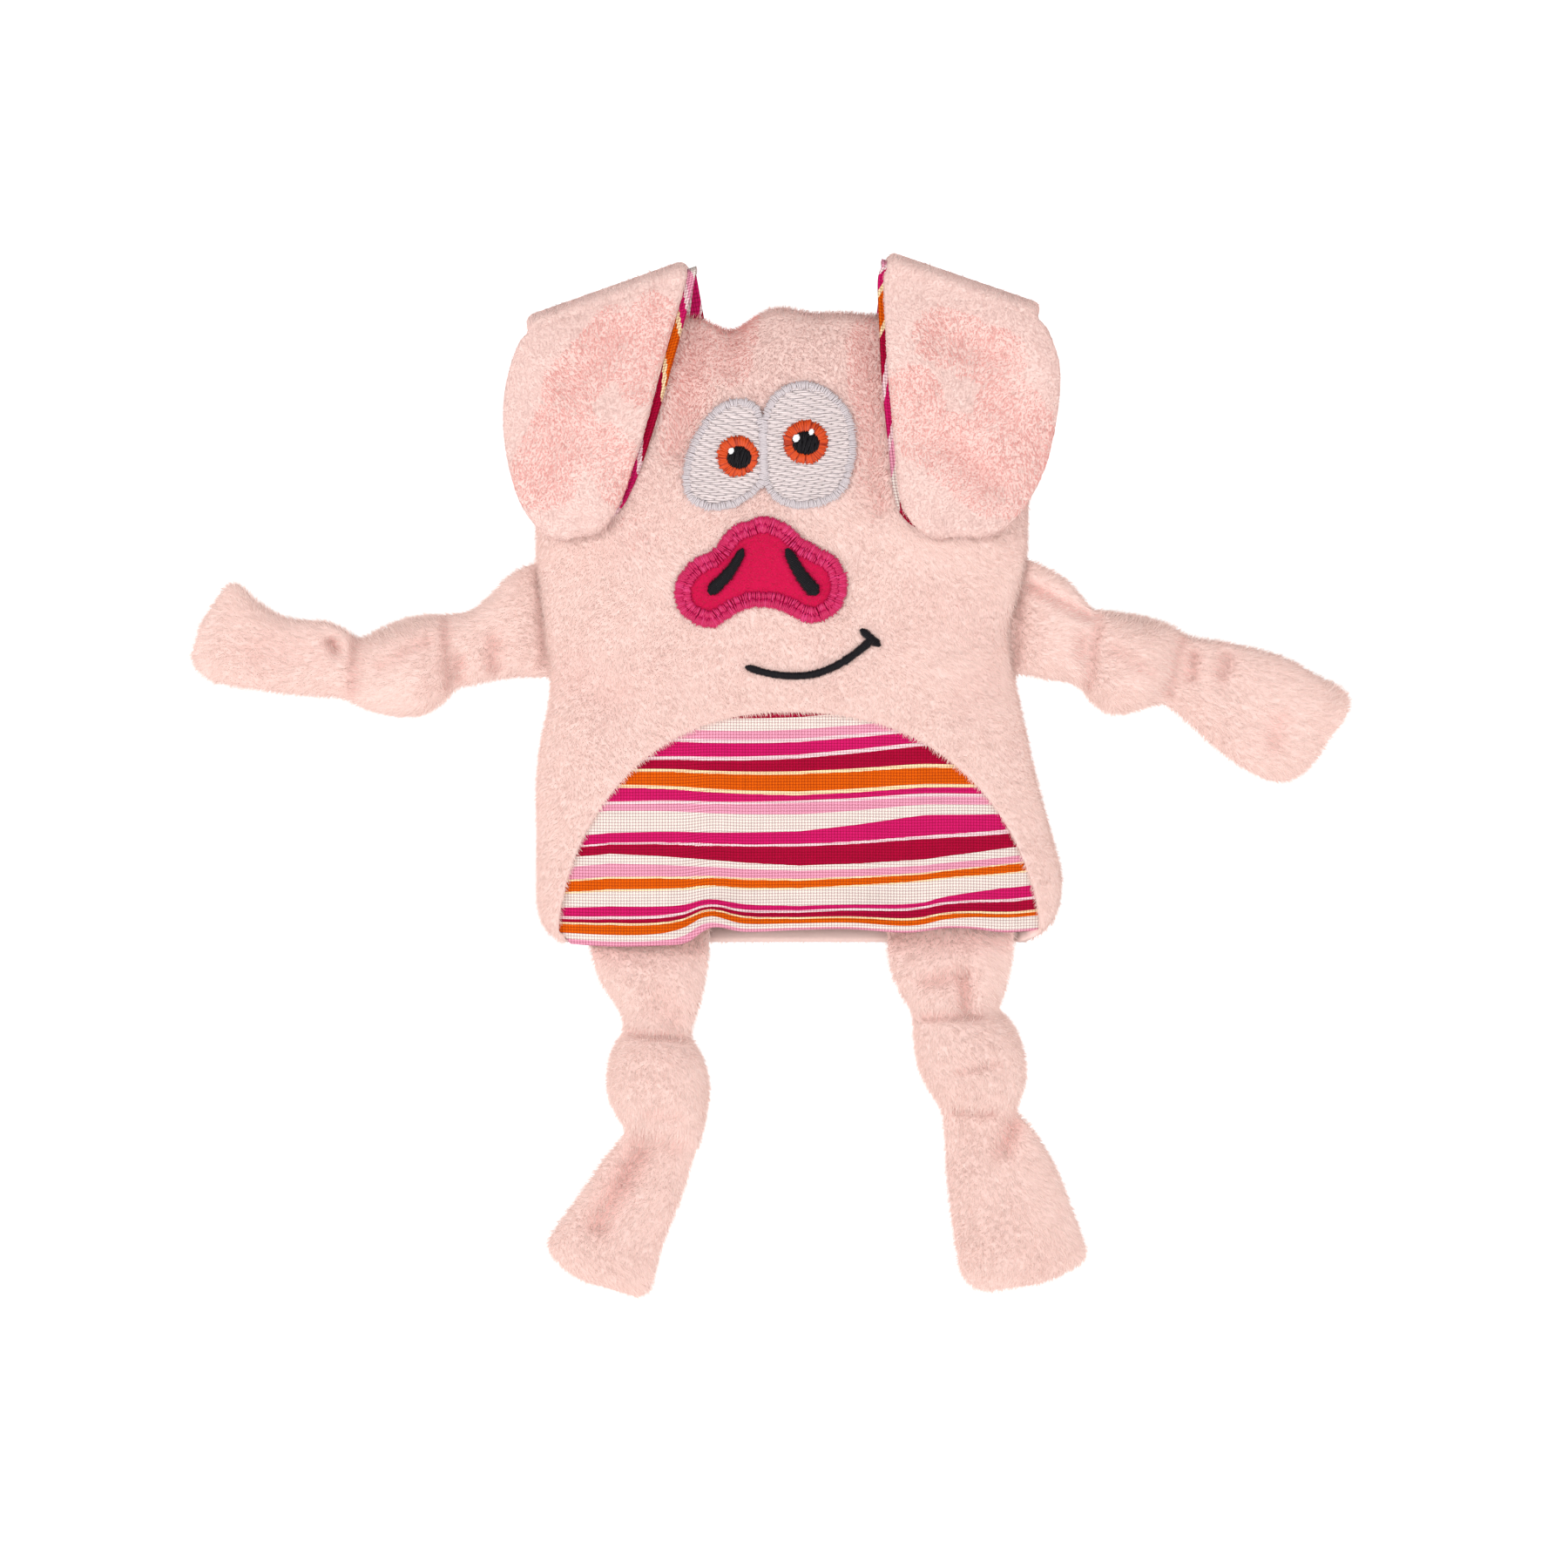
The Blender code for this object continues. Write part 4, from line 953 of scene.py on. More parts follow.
# The cotton fills the arch and tucks a little under its edge. It stands proud of the pouch's own surface,
# bulging, folding and waving near the hem as bell curves of the height, and the hem turns in.
def buildBelly():
    rows, columns = 300, 145
    share = np.sin(np.linspace(0, math.pi / 2, rows))[:, None] ** 1.15
    height = share * (arch["top"] - 0.02)
    half = archHalf(height)
    u = np.linspace(-1, 1, columns)[None, :]
    reach = []
    for side, foot, edge in ((-1, -48.0, 0), (1, 54.0, 1)):
        room = side * (edgesAt(height + hemAt(foot) * (1 - share))[edge] - arch["middle"]) - belly["inset"]
        wide = arch[("left", "right")[edge]] * half + belly["tucked"]
        reach.append(np.minimum(wide, room))
    x = arch["middle"] + np.where(u < 0, *reach) * u
    low = hemAt(x)
    z = low + (height + belly["tucked"] * share) - low * share
    above = z - low
    bulge = 1.6 * bell(above, 5.0) * (1 - np.abs(u) ** 6)
    fold = bell(x + 16.0, 4.5) * bell(above, 7.0)
    waves = 0.5 * np.sin(x / 4.2 + 1.0) * bell(above, 6.0) + 0.3 * hills(x, z, 30.0, 3)
    turnIn = 1.6 * (1 - quarterRound(above / 1.3))
    y = frontInner(x, z) - belly["proud"] - bulge - 1.4 * fold + waves + turnIn
    front = np.stack([x, y, z], -1)
    back = np.stack([x, y + belly["thick"], z], -1)
    cloth = np.stack([x, z - 0.35 * low * (1 - share)], -1) / 100
    return shell("bellyCotton", front, back, "stripes", {"stripe": stripeValue(x, z)}, cloth)


# Each lining lies just inside its own panel, rumpled by low hills; the stabiliser lies behind the face
def buildLinings():
    made = []
    for name, side in (("frontLining", -1), ("backLining", 1)):
        z = np.linspace(6.5, pouch["top"] - 9, 60)[:, None] + np.zeros((1, 40))
        left, right = edgesAt(z)
        x = left + 8.5 + np.linspace(0, 1, 40)[None, :] * (right - left - 17)
        y = frontInner(x, z) + 1.4 if side < 0 else backOuter(x, z) - pouch["thick"] - 0.5
        y = y + 0.25 * hills(x, z, 14.0, 15 + side)
        made.append(flatSheet(name, x, y, z, -0.5 * side, "lining"))
    x, z = np.meshgrid(np.linspace(-25, 23, 40), np.linspace(53, 119, 50))
    made.append(flatSheet("stabiliserSheet", x, frontInner(x, z) + 0.35, z, 0.5, "backing"))
    return made


# A sheet of one thickness whose weave is laid on from the front
def flatSheet(name, x, y, z, thick, material):
    near, far = np.stack([x, y, z], -1), np.stack([x, y + thick, z], -1)
    return shell(name, near, far, material, cloth=np.stack([x, z], -1) / 100)


# Across both directions of a grid, each one long
def surfaceNormals(grid):
    return unit(np.cross(np.gradient(grid, axis=0), np.gradient(grid, axis=1)))


# The ears lie over the pouch, but round off more softly at its edges than it does
def earSwell(x, z):
    left, right = edgesAt(np.minimum(z, 125.0))
    across = np.clip(np.abs(2 * x - left - right) / (right - left) / 1.2, 0, 1)
    rise = np.clip((z - pouch["widestZ"]) / (pouch["top"] - pouch["widestZ"]), 0, 1.1)
    return (1 - across**2.4) ** 0.9 * np.clip(1 - 0.72 * rise**3, 0, 1)


# One sheet: up from the seam, over the crease in a half ellipse, and down the flap, which rests on the
# pouch, curls up at its edges as bell curves and eases in from the crease
def earSheet(shape, across):
    seam, crease = np.array(shape["seam"], float), np.array(shape["crease"], float)
    share = across[None, :, None]
    rootShare = np.linspace(0, 1, 12)[:, None, None]
    seamLine = seam[0] * (1 - share) + seam[1] * share
    creaseLine = crease[0] * (1 - share) + crease[1] * share
    root = seamLine * (1 - rootShare) + creaseLine * rootShare
    rootY = np.full(root.shape[:2], ears["rootY"])
    turn = np.linspace(0, math.pi, 26)[1:-1][:, None]
    fold = np.repeat(creaseLine, len(turn), axis=0)
    fold[..., 1] += ears["foldHeight"] * np.sin(turn)
    middle = ears["rootY"] - ears["foldReach"]
    foldY = np.tile(middle + ears["foldReach"] * np.cos(turn), len(across))
    edges = curve([(*crease[0], *crease[1]), *shape["flap"]], 72)[1:]
    flap = edges[:, None, :2] * (1 - share) + edges[:, None, 2:] * share
    x, z = flap[..., 0], flap[..., 1]
    rows = np.linspace(0, 1, len(x))[:, None]
    ease = np.clip(rows / 0.22, 0, 1)
    ease = ease**2 * (3 - 2 * ease)
    edge = np.minimum(across, 1 - across)[None, :]
    curl = 1.4 * bell(edge, 0.09) + 1.3 * bell(1 - rows, 0.07)
    depth, colour = pressed(x, z, shape["hollows"])
    rest = -6.2 - 7.2 * earSwell(x, z) + curl + depth * 0.8 + 0.35 * hills(x, z, 22.0, 17)
    flapY = (middle - ears["foldReach"]) * (1 - ease) + rest * ease
    grid = np.concatenate([
        np.stack([root[..., 0], rootY, root[..., 1]], -1),
        np.stack([fold[..., 0], foldY, fold[..., 1]], -1),
        np.stack([x, flapY, z], -1),
    ])
    # the flap's hollows carry painted shade; the root and the fold carry none
    plain = np.zeros((12 + len(turn), len(across)))
    return grid, np.concatenate([plain, colour * 0.7])


# An ear's sheet with its normals, away from the lining: the root's plush faces back, the flap's faces front
def earLayer(shape, first, last):
    grid, shade = earSheet(shape, np.linspace(first, last, 64))
    outward = surfaceNormals(grid)
    return grid, shade, -outward if outward[2, 30, 1] < 0 else outward


# Plush outside, its rim rounded off as a quarter circle, and a slightly wider lining inside; both are cut
# in two near the crease. The lining's bands run down the ear and slant away from its inner edge.
def buildEar(side):
    shape = ears[side]
    grid, shade, outward = earLayer(shape, 0, 1)
    down = np.linspace(0, 1, len(grid))[:, None]
    over = np.linspace(0, 1, 64)[None, :]
    rim = np.minimum(np.minimum(over, 1 - over) / 0.05, (1 - down) / 0.03)
    plushOut = grid + outward * (0.1 + ears["plushThick"] * (0.25 + 0.75 * quarterRound(rim)))[..., None]
    plushIn = grid + outward * 0.05
    wide, _, wideOut = earLayer(shape, -shape["liningOut"], 1 - 0.5 * shape["liningOut"])
    liningNear = wide - wideOut * 0.1
    liningFar = wide - wideOut * (0.1 + ears["liningThick"])
    steps = np.linalg.norm(np.diff(wide[:, 32], axis=0), axis=1)
    across = wide[..., 0] - wide[:, :1, 0]
    along = np.concatenate([[0], np.cumsum(steps)])[:, None] + np.zeros_like(across)
    cloth = np.stack([across, along], -1) / 100
    wander = 0.6 * hills(wide[..., 0], wide[..., 2], 30.0, 19)
    level = shape["start"] + shape["slant"] * along + np.abs(across) + wander
    stripe = bandValue(along - 30.0, level % 52.0)
    split = 11
    halves = (("Root", slice(0, split + 1)), ("Flap", slice(split, None)))
    sheets = []
    for part, rows in halves:
        name = f"{side}Ear{part}"
        plush = shell(name + "Plush", plushOut[rows], plushIn[rows], "plush", {"crease": shade[rows]})
        bands = {"stripe": stripe[rows]}
        lining = shell(name + "Lining", liningNear[rows], liningFar[rows], "stripes", bands, cloth[rows])
        sheets.append((part, plush, lining))
    draw = np.random.default_rng(51 if side == "left" else 52)
    seed = 55 if side == "left" else 57
    made = []
    for part, plush, lining in sheets:
        rows = dict(halves)[part]
        points, normals, crease = scatter(plushOut[rows], pile["earDensity"], draw, shade[rows])
        # the cross product of the grid's own directions may face either way
        guide = outward[split + 2, 30] if part == "Flap" else outward[2, 30]
        if (normals[len(normals) // 2] * guide).sum() < 0:
            normals = -normals
        nap = brushed(points, (0.0, 0.0, -0.9 if part == "Flap" else 0.9), 53, 0.6)
        # painted shade: the ears' tufts lean to the darker tones
        hair = tufts(f"{side}Ear{part}Pile", points, normals, nap, crease, seed, length=1.2, paintedShade=0.8)
        made.append((part, plush, lining, hair))
    return made


# Each ring is a flattened oval across its rung; hollows press its front and, less, its back, and paint
# shade, most on its front.
def limbRings(shape):
    rungs = curve(shape["rungs"], 150)
    turn = np.linspace(0, 2 * math.pi, 56, endpoint=False)[None, :]
    wide = np.sign(np.cos(turn)) * np.abs(np.cos(turn)) ** 0.8
    deep = np.sign(np.sin(turn)) * np.abs(np.sin(turn)) ** 0.9
    ax, az, bx, bz, thick = (rungs[:, k : k + 1] for k in range(5))
    x = (ax + bx) / 2 + (bx - ax) / 2 * wide
    z = (az + bz) / 2 + (bz - az) / 2 * wide
    share = np.linspace(0, 1, 150)[:, None]
    middle = shape["middleY"][0] + (shape["middleY"][1] - shape["middleY"][0]) * np.clip(share * 3, 0, 1)
    y = middle + thick / 2 * deep
    depth, colour = pressed(x, z, shape["hollows"])
    facing = np.clip(-deep * 1.5, 0, 1)
    y = y + 0.75 * depth * facing - 0.4 * depth * np.clip(deep * 1.5, 0, 1)
    y = y + 0.35 * hills(x, z, 13.0, 61) * np.abs(deep) * np.clip(thick / 6, 0, 1)
    return np.stack([x, y, z], -1), colour * np.clip(facing + 0.5, 0, 1)


# A joint's place in millimetres
def jointPoint(name):
    return np.array(jointOf[name]["pos_m"], float) / mm


# A strip is cut into three between its joints, each part a capped tube with tufts
def buildLimb(name, shape):
    rings, shade = limbRings(shape)
    centres = rings.mean(axis=1)
    marks = [jointPoint(joint) for joint in shape["joints"]]
    near = [int(np.argmin(np.linalg.norm(centres - mark, axis=1))) for mark in marks]
    cuts = [0, (near[0] + near[1]) // 2, (near[1] + near[2]) // 2, len(rings) - 1]
    tangents = unit(np.gradient(centres, axis=0))
    draw = np.random.default_rng(70 + len(name))
    made = []
    wrapped = np.concatenate([rings, rings[:, :1]], axis=1)
    shadeWrapped = np.concatenate([shade, shade[:, :1]], axis=1)
    for k, part in enumerate(shape["parts"]):
        rows = slice(cuts[k], cuts[k + 1] + 1)
        # a few more rings slip just inside the neighbours, so no edge shows at a seam
        first, last = max(cuts[k] - 3, 0), min(cuts[k + 1] + 3, len(rings) - 1)
        place = np.arange(first, last + 1)
        beyond = np.maximum(cuts[k] - place, place - cuts[k + 1])
        sink = np.array([0.0, 0.004, 0.008, 0.04])[np.maximum(beyond, 0)][:, None, None]
        tucked = rings[place] + sink * (rings[place].mean(axis=1, keepdims=True) - rings[place])
        base = tube(part + "_plush", tucked, "plush", {"crease": shade[place]})
        points, normals, crease = scatter(wrapped[rows], pile["limbDensity"], draw, shadeWrapped[rows])
        nearest = np.argmin(np.abs(centres[None, :, :] - points[:, None, :]).sum(-1), axis=1)
        spine = centres[nearest]
        turned = ((points - spine) * normals).sum(axis=1)
        normals = normals * np.sign(np.where(turned == 0, 1, turned))[:, None]
        nap = 0.9 * tangents[nearest] + brushed(points, (0.0, 0.0, 0.0), 81, 0.5)
        # painted light: the limbs' tufts lean to the lighter tones
        hair = tufts(part + "_pile", points, normals, nap, crease, 91 + k, length=1.2, paintedShade=-0.4)
        made.append((part, base, hair))
    return made, marks, centres, near


# Each stitch is a rounded thread between two points of the cloth, fat in the middle and arched clear of it.
def stitches(name, starts, ends, radius, lift, bow, materials, slots=None):
    starts, ends = np.array(starts, float), np.array(ends, float)
    count = len(starts)
    t = np.array([0.0, 0.18, 0.5, 0.82, 1.0])[None, :, None]
    line = starts[:, None] * (1 - t) + ends[:, None] * t
    fat = np.array([0.4, 0.9, 1.0, 0.9, 0.4])[None, :, None]
    along = unit(ends - starts)
    side = np.stack([-along[:, 1], along[:, 0]], 1)[:, None, None, :]
    turn = np.linspace(0, 2 * math.pi, 6, endpoint=False)[None, None, :]
    radius = np.broadcast_to(np.asarray(radius, float), (count,))[:, None, None]
    x = line[..., 0:1] + side[..., 0] * np.cos(turn) * radius * fat
    z = line[..., 1:2] + side[..., 1] * np.cos(turn) * radius * fat
    base = frontOuter(line[..., 0], line[..., 1])[..., None] - lift - bow * np.sin(math.pi * t)
    y = base - np.sin(turn) * radius * fat * 0.85
    verts = np.stack([x, y, z], -1).reshape(-1, 3)
    place = np.arange(count * 30).reshape(count, 5, 6)
    caps = np.concatenate([place[:, 0, ::-1], place[:, -1]])
    chosen = None
    if slots is not None:
        chosen = np.concatenate([np.repeat(slots, 24), slots, slots])
    return newPiece(name, verts, [ringWalls(place), caps], materials, slots=chosen)


# Rows of short stitches across a closed outline, each row's joins stepped on from the last
def fillRows(outline, spacing, reach, tilt, draw, hole=None):
    loop = curve(outline, 90, closed=True)
    c, s = math.cos(tilt), math.sin(tilt)
    turned = np.stack([loop[:, 0] * c + loop[:, 1] * s, -loop[:, 0] * s + loop[:, 1] * c], 1)
    ahead = np.roll(turned, -1, axis=0)
    starts, ends = [], []
    for row, level in enumerate(np.arange(turned[:, 1].min() + spacing, turned[:, 1].max(), spacing)):
        crosses = (turned[:, 1] > level) != (ahead[:, 1] > level)
        a, b = turned[crosses], ahead[crosses]
        found = np.sort(a[:, 0] + (level - a[:, 1]) * (b[:, 0] - a[:, 0]) / (b[:, 1] - a[:, 1]))
        for first, last in zip(found[::2], found[1::2]):
            joins = np.arange(first - reach * ((row * 0.37) % 1.0), last + reach, reach)
            joins = np.clip(joins + draw.normal(0, 0.12, len(joins)), first, last)
            for p, q in zip(joins[:-1], joins[1:]):
                if q - p > 0.7:
                    wobble = draw.normal(0, 0.05, 2)
                    starts.append((p + 0.04, level + wobble[0]))
                    ends.append((q - 0.04, level + wobble[1]))
    starts, ends = np.array(starts), np.array(ends)
    back = np.array([[c, s], [-s, c]])
    starts, ends = starts @ back, ends @ back
    if hole is not None:
        middle = (starts + ends) / 2 - np.array(hole[:2])
        keep = np.hypot(middle[:, 0], middle[:, 1]) > hole[2]
        starts, ends = starts[keep], ends[keep]
    return starts, ends


# Satin edge: short stitches square to a closed outline, reaching inwards
def satinEdge(outline, spacing, width, draw, over=0.25):
    loop = evenly(curve(outline, 240, closed=True), spacing, closed=True)
    ahead = unit(np.roll(loop, -1, axis=0) - np.roll(loop, 1, axis=0))
    inward = np.stack([-ahead[:, 1], ahead[:, 0]], 1)
    area = (loop[:, 0] * np.roll(loop[:, 1], -1) - loop[:, 1] * np.roll(loop[:, 0], -1)).sum()
    if area < 0:
        inward = -inward
    jitter = draw.normal(0, 0.14, (len(loop), 2))
    slant = ahead * draw.normal(0, 0.12, (len(loop), 1))
    starts = loop - inward * (over + jitter[:, :1])
    ends = loop + inward * (width + jitter[:, 1:]) + slant
    return starts, ends


# A thin pad of the same thread under the stitches, so no plush shows between them
def threadPad(name, outline, lift, material, grow=1.0):
    loop = curve(outline, 72, closed=True)
    centre = loop.mean(axis=0)
    share = np.linspace(0.03, 1, 16)[:, None, None]
    plan = centre + (loop[None] - centre) * share * grow
    x, z = plan[..., 0], plan[..., 1]
    rings = np.stack([x, frontOuter(x, z) - lift, z], -1)
    return discShell(name, rings, 0.5, material)


# Satin line: stitches across a path whose width runs from one value to another, rounded at its ends
def satinLine(path, widthStart, widthEnd, spacing, draw):
    line = evenly(curve(path, 120), spacing)
    ahead = unit(np.gradient(line, axis=0))
    side = np.stack([-ahead[:, 1], ahead[:, 0]], 1)
    share = np.linspace(0, 1, len(line))[:, None]
    half = (widthStart * (1 - share) + widthEnd * share) / 2
    fromEnd = np.minimum(share, 1 - share) * len(line) * spacing / half.max()
    half = half * np.maximum(quarterRound(fromEnd), math.sqrt(0.2)) * (1 + draw.normal(0, 0.07, share.shape))
    slant = ahead * 0.12
    return line - side * half - slant, line + side * half + slant


# Points of an oval at the given turns
def oval(x, z, wide, high, turns):
    return np.stack([x + wide * np.cos(turns), z + high * np.sin(turns)], 1)


# The white: filled in rows round the iris, with a satin edge lifted over them
def buildEyeWhite(side, outline, iris, draw):
    tilt = -0.06 if side == "left" else 0.05
    fill = fillRows(outline, 0.43, 3.6, tilt, draw, (*iris["at"], iris["radius"] - 0.6))
    edge = satinEdge(outline, 0.36, 1.5, draw)
    starts, ends = np.vstack([fill[0], edge[0]]), np.vstack([fill[1], edge[1]])
    slots = np.repeat([0, 1], [len(fill[0]), len(edge[0])])
    radius = np.where(slots == 1, 0.2, 0.24)
    lift = 0.55 + 0.3 * slots[:, None, None]
    white = stitches(f"{side}EyeWhite", starts, ends, radius, lift, 0.22, ["eyeThread", "eyeEdge"], slots)
    # the pad, in the darker edge thread, shows between the white rows as painted shade
    return white, threadPad(f"{side}EyePad", outline, 0.45, "eyeEdge")


# The iris: stitches run in like spokes from its edge to beneath the pupil
def buildIris(side, iris, draw):
    x, z, wide, high = iris["pupil"]
    turns = np.arange(0, 2 * math.pi, 0.34 / iris["radius"])
    spin = turns + draw.normal(0, 0.02, len(turns))
    far = iris["radius"] + draw.normal(0, 0.12, len(turns))
    outer = oval(*iris["at"], far, far, spin)
    inner = oval(x, z, 0.78 * wide, 0.78 * high, spin)
    slots = (draw.random(len(turns)) < 0.22).astype(int)
    ring = stitches(f"{side}Iris", outer, inner, 0.23, 0.95, 0.25, ["iris", "irisDark"], slots)
    around = np.linspace(0, 2 * math.pi, 16, endpoint=False)
    rim = oval(*iris["at"], iris["radius"] - 0.25, iris["radius"] - 0.25, around)
    return ring, threadPad(f"{side}IrisPad", rim, 0.85, "iris")


# The pupil: filled in rows, with a few short pale stitches laid over it
def buildPupil(side, iris, draw):
    rim = oval(*iris["pupil"], np.linspace(0, 2 * math.pi, 16, endpoint=False))
    pad = threadPad(f"{side}PupilPad", rim, 1.15, "black", 0.93)
    laid = [fillRows(rim, 0.34, 9.0, 1.35, draw)]
    for x, z, size in iris["glints"]:
        rows = np.arange(-size / 2, size / 2 + 0.01, 0.3)
        reach = np.sqrt(np.maximum((size / 2 + 0.15) ** 2 - rows**2, 0.04))
        laid.append((np.stack([x - reach, z + rows], 1), np.stack([x + reach, z + rows + 0.25], 1)))
    starts, ends = np.vstack([a for a, _ in laid]), np.vstack([b for _, b in laid])
    slots = (np.arange(len(starts)) >= len(laid[0][0])).astype(int)
    lift = 1.2 + 0.5 * slots[:, None, None]
    return stitches(f"{side}Pupil", starts, ends, 0.2, lift, 0.15, ["black", "glint"], slots), pad


# The snout: a plush patch that rises as a quarter circle from its edge, two rows of satin stitches round
# it, and two satin nostrils
def buildSnout():
    draw = np.random.default_rng(111)
    starts, ends = satinEdge(face["snout"], 0.33, face["snoutBorder"], draw)
    # two staggered rows make the wide border
    middle = starts + (ends - starts) * draw.uniform(0.42, 0.62, (len(starts), 1))
    ends = np.vstack([middle + (ends - starts) * 0.06, ends])
    starts = np.vstack([starts, middle])
    slots = (draw.random(len(starts)) < 0.2).astype(int)
    border = stitches("snoutBorder", starts, ends, 0.2, 0.85, 0.3, ["snoutThread", "snoutPale"], slots)
    loop = curve(face["snout"], 72, closed=True)
    centre = loop.mean(axis=0)
    share = np.linspace(0.02, 0.97, 24)[:, None, None]
    plan = centre + (loop[None] - centre) * share
    plan = np.concatenate([plan, plan[:, :1]], axis=1)
    x, z = plan[..., 0], plan[..., 1]
    y = frontOuter(x, z) - 0.35 - 0.35 * np.sqrt(1 - share[..., 0] ** 2)
    grid = np.stack([x, y, z], -1)
    patch = discShell("snoutPatch", grid[:, :-1], 0.6, "snoutPlush")
    points, normals, crease = scatter(grid, 12.0, draw, np.zeros(x.shape))
    normals *= -np.sign(normals[:, 1:2])
    nap = brushed(points, (0.9, 0.0, 0.1), 113, 0.6)
    shades = ["snoutPile", "snoutPileDeep"]
    hair = tufts("snoutPile", points, normals, nap, crease, 115, length=0.5, shades=shades, lean=1.1)
    nostrils = []
    for side in ("left", "right"):
        path, first, last = face[side + "Nostril"]
        starts, ends = satinLine(path, first, last, 0.3, draw)
        nostrils.append(stitches(side + "Nostril", starts, ends, 0.21, 1.25, 0.3, ["black"]))
    return border, patch, hair, nostrils


# The mouth: two satin lines
def buildMouth():
    draw = np.random.default_rng(121)
    made = []
    for name, line in (("mouthLine", face["mouth"]), ("mouthCorner", face["corner"])):
        starts, ends = satinLine(*line, 0.33, draw)
        made.append(stitches(name, starts, ends, 0.22, 0.75, 0.3, ["black"]))
    return made


# The frame's nodes that a piece replaces are hidden; the piece and the slot are not used
def finish(piece, slot, *nodes):
    if nodes:
        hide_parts(*nodes)


# Millimetres to metres
def at(point):
    return tuple(float(v) * mm for v in point)


front, frontPiles = buildFront()
finish(front, "plush", "head_front", "torso_front")
back, backPiles = buildBack()
finish(back, "plush", "head_back", "torso_back")
for hair in (*frontPiles, *backPiles):
    finish(hair, "plush")
for piece in (front, back, *frontPiles, *backPiles):
    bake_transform(piece)
print("pouch made")

cotton = buildBelly()
finish(cotton, "stripes", "belly_panel")
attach(cotton, "torso")
frontLining, backLining, stabiliser = buildLinings()
finish(frontLining, "lining", "head_front_lining", "torso_front_lining")
finish(backLining, "lining", "head_back_lining", "torso_back_lining")
for piece in (frontLining, backLining):
    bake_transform(piece)
finish(stabiliser, "backing", "embroidery_backing")
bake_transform(stabiliser)
print("belly and linings made")

for side in ("left", "right"):
    base, flap = f"{side}_ear_base", f"{side}_ear_flap"
    for part, plush, lining, hair in buildEar(side):
        node = f"{side}_ear_root" if part == "Root" else f"{side}_ear"
        finish(plush, "plush", node + "_plush")
        finish(lining, "stripes", node + "_lining")
        finish(hair, "plush")
        for piece in (plush, lining, hair):
            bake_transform(piece)
print("ears made")

for name, shape in limbs.items():
    made, marks, centres, near = buildLimb(name, shape)
    for k, (part, base, hair) in enumerate(made):
        nodes = [part] + ([shape["tab"]] if k == 0 and "tab" in shape else [])
        finish(base, "plush", *nodes)
        finish(hair, "plush")
        # a direction along the strip about the joint, scaled a little to either side; nothing uses it
        ahead = unit(centres[min(near[k] + 5, len(centres) - 1)] - centres[max(near[k] - 5, 0)])
        ahead = ahead * (3.2 if k else 2.4)
        for piece in (base, hair):
            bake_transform(piece)
print("limbs made")

stitched = []
for side, seed in (("left", 101), ("right", 102)):
    outline, iris = face[side + "Eye"], face[side + "Iris"]
    draw = np.random.default_rng(seed)
    layers = (
        ("white_thread", f"{side}_eye_white", buildEyeWhite(side, outline, iris, draw)),
        ("orange_thread", f"{side}_iris", buildIris(side, iris, draw)),
        ("black_thread", f"{side}_pupil", buildPupil(side, iris, draw)),
    )
    for slot, node, (threads, pad) in layers:
        finish(threads, slot, node)
        finish(pad, slot)
        stitched += [threads, pad]
border, patch, snoutHair, nostrils = buildSnout()
finish(border, "pink_thread", "snout_border")
finish(patch, "pink_felt", "snout_patch")
finish(snoutHair, "pink_felt")
lines = [*nostrils, *buildMouth()]
for piece, node in zip(lines, ("left_nostril", "right_nostril", "mouth_line", "mouth_corner")):
    finish(piece, "black_thread", node)
for piece in (*stitched, border, patch, snoutHair, *lines):
    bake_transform(piece)
print("embroidery made")


studio = {
    "floorZ": -78.6,
    "flatReach": 2400.0,
    "bend": 1000.0,
    "wall": 500.0,
    "paperGlow": 0.5,
    "worldLight": 0.6,
    "cameraZ": 32.4,
    "away": 1400.0,
    "viewWidth": 333.0,
    # metres: place and size of each light, then its power
    "lights": {
        "keyLight": ((-0.75, -1.1, 0.05), 0.8, 10.0),
        "fillLight": ((0.85, -1.0, -0.02), 0.9, 6.5),
        "leftBackLight": ((-1.3, 1.3, 0.9), 0.8, 9.0),
        "rightBackLight": ((1.3, 1.3, 0.9), 0.8, 7.0),
    },
    "aim": (0, 0, 0.02),
}


# Pale paper, faintly mottled and glowing a little
def floorMaterial():
    made, tree, shader = newMaterial("palePaper", 0.9, 0.0)
    place = tree.nodes.new("ShaderNodeTexCoord").outputs["Object"]
    spots = placeGroup(tree, mottle, place, Patches=4.0, Specks=300.0).outputs["Value"]
    colour = mixColour(tree, spots, grey(0.955), grey(0.975))
    tree.links.new(colour, shader.inputs["Base Color"])
    shader.inputs["Emission Color"].default_value = grey(1)
    shader.inputs["Emission Strength"].default_value = studio["paperGlow"]
    finishes["paper"] = made


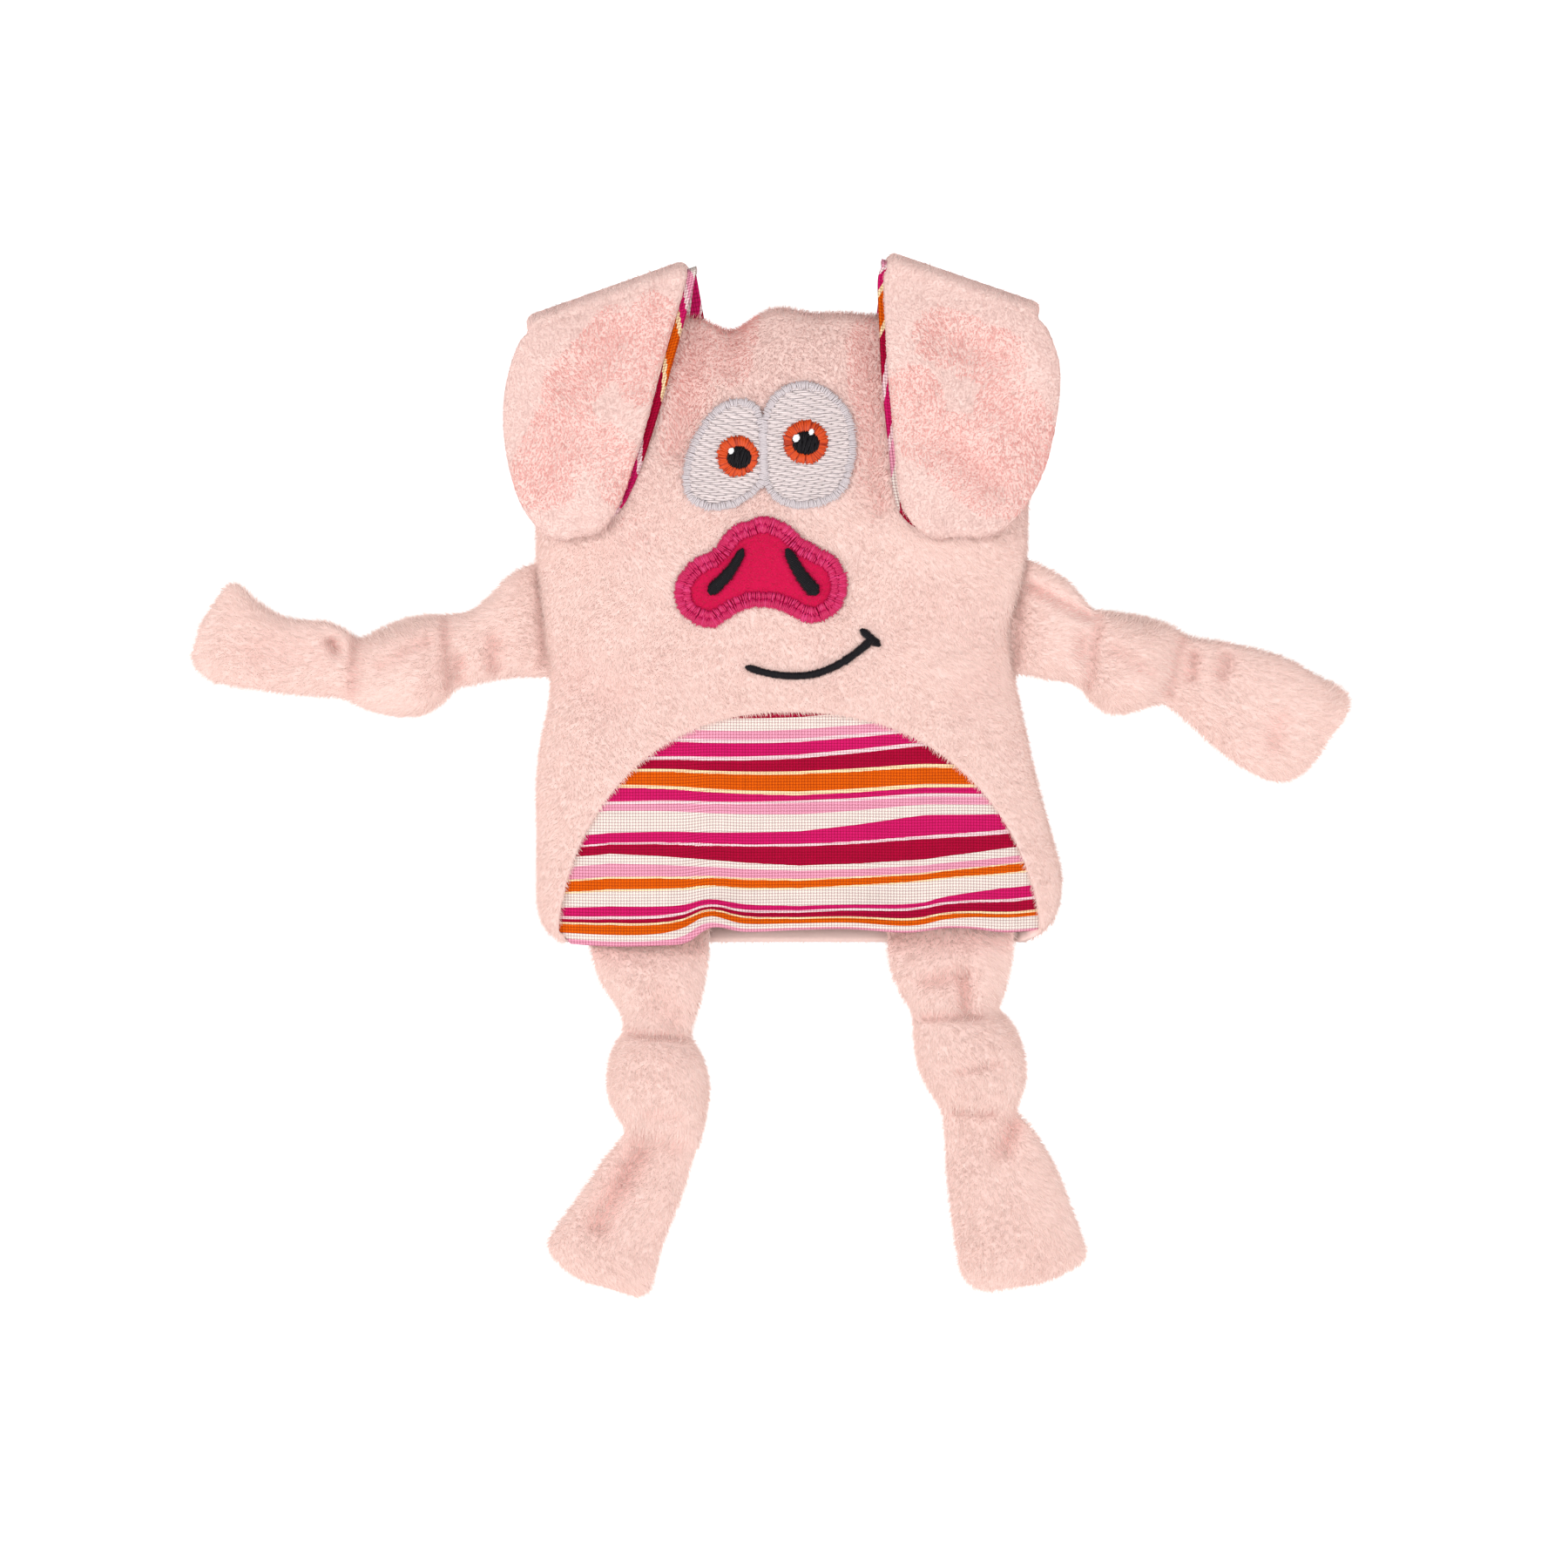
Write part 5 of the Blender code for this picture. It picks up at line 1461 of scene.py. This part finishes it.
# A round dish of paper: flat, then a quarter circle up to a low wall
def buildFloor():
    floorMaterial()
    bend, flat = studio["bend"], studio["flatReach"]
    turn = np.linspace(0, math.pi / 2, 17)
    reach = np.concatenate([[600.0], flat + bend * np.sin(turn), [flat + bend]])
    rise = np.concatenate([[0.0], bend - bend * np.cos(turn), [bend + studio["wall"]]])
    inside = np.stack([reach, rise], -1)
    profile = np.concatenate([inside, inside[::-1] + (20.0, -20.0)])[:, None, :]
    around = np.linspace(0, 2 * math.pi, 64, endpoint=False)
    level = studio["floorZ"] + profile[..., 1] + 0 * around
    rings = np.stack([profile[..., 0] * np.cos(around), profile[..., 0] * np.sin(around), level], -1)
    floor = tube("floorPaper", rings, "paper")


# A square light turned to face the object
def addSoftbox(name, place, size, power):
    light = bpy.data.lights.new(name, "AREA")
    light.shape = "SQUARE"
    light.size = size
    light.energy = power
    lamp = bpy.data.objects.new(name, light)
    lamp.location = place
    turn = np.array(studio["aim"], float) - np.array(place, float)
    lamp.rotation_euler = Vector(turn).to_track_quat("-Z", "Y").to_euler()
    bpy.context.scene.collection.objects.link(lamp)


# Darker from above, so the light seems to come up from the paper
def buildWorld():
    world = bpy.data.worlds.new("paleStudio")
    world.use_nodes = True
    tree = world.node_tree
    ground = tree.nodes["Background"]
    ground.inputs[1].default_value = studio["worldLight"]
    split = tree.nodes.new("ShaderNodeSeparateXYZ")
    tree.links.new(tree.nodes.new("ShaderNodeTexCoord").outputs["Generated"], split.inputs[0])
    share = mathNode(tree, "MAXIMUM", split.outputs[2], 0.0)
    tree.links.new(mixColour(tree, share, grey(1.3), grey(0.2)), ground.inputs[0])
    bpy.context.scene.world = world


# Its lens shows the view's width at the face's distance
def buildCamera():
    view = bpy.data.cameras.new("frontCamera")
    view.lens = 36 * (studio["away"] - 8) / studio["viewWidth"]
    view.sensor_width = 36
    view.clip_start = 0.05
    camera = bpy.data.objects.new("frontCamera", view)
    camera.location = at((0, -studio["away"], studio["cameraZ"]))
    camera.rotation_euler = (math.pi / 2, 0, 0)
    bpy.context.scene.collection.objects.link(camera)
    bpy.context.scene.camera = camera


buildFloor()
buildWorld()
for name, light in studio["lights"].items():
    addSoftbox(name, *light)
buildCamera()
bpy.context.scene.view_settings.view_transform = "Standard"
print("studio made")
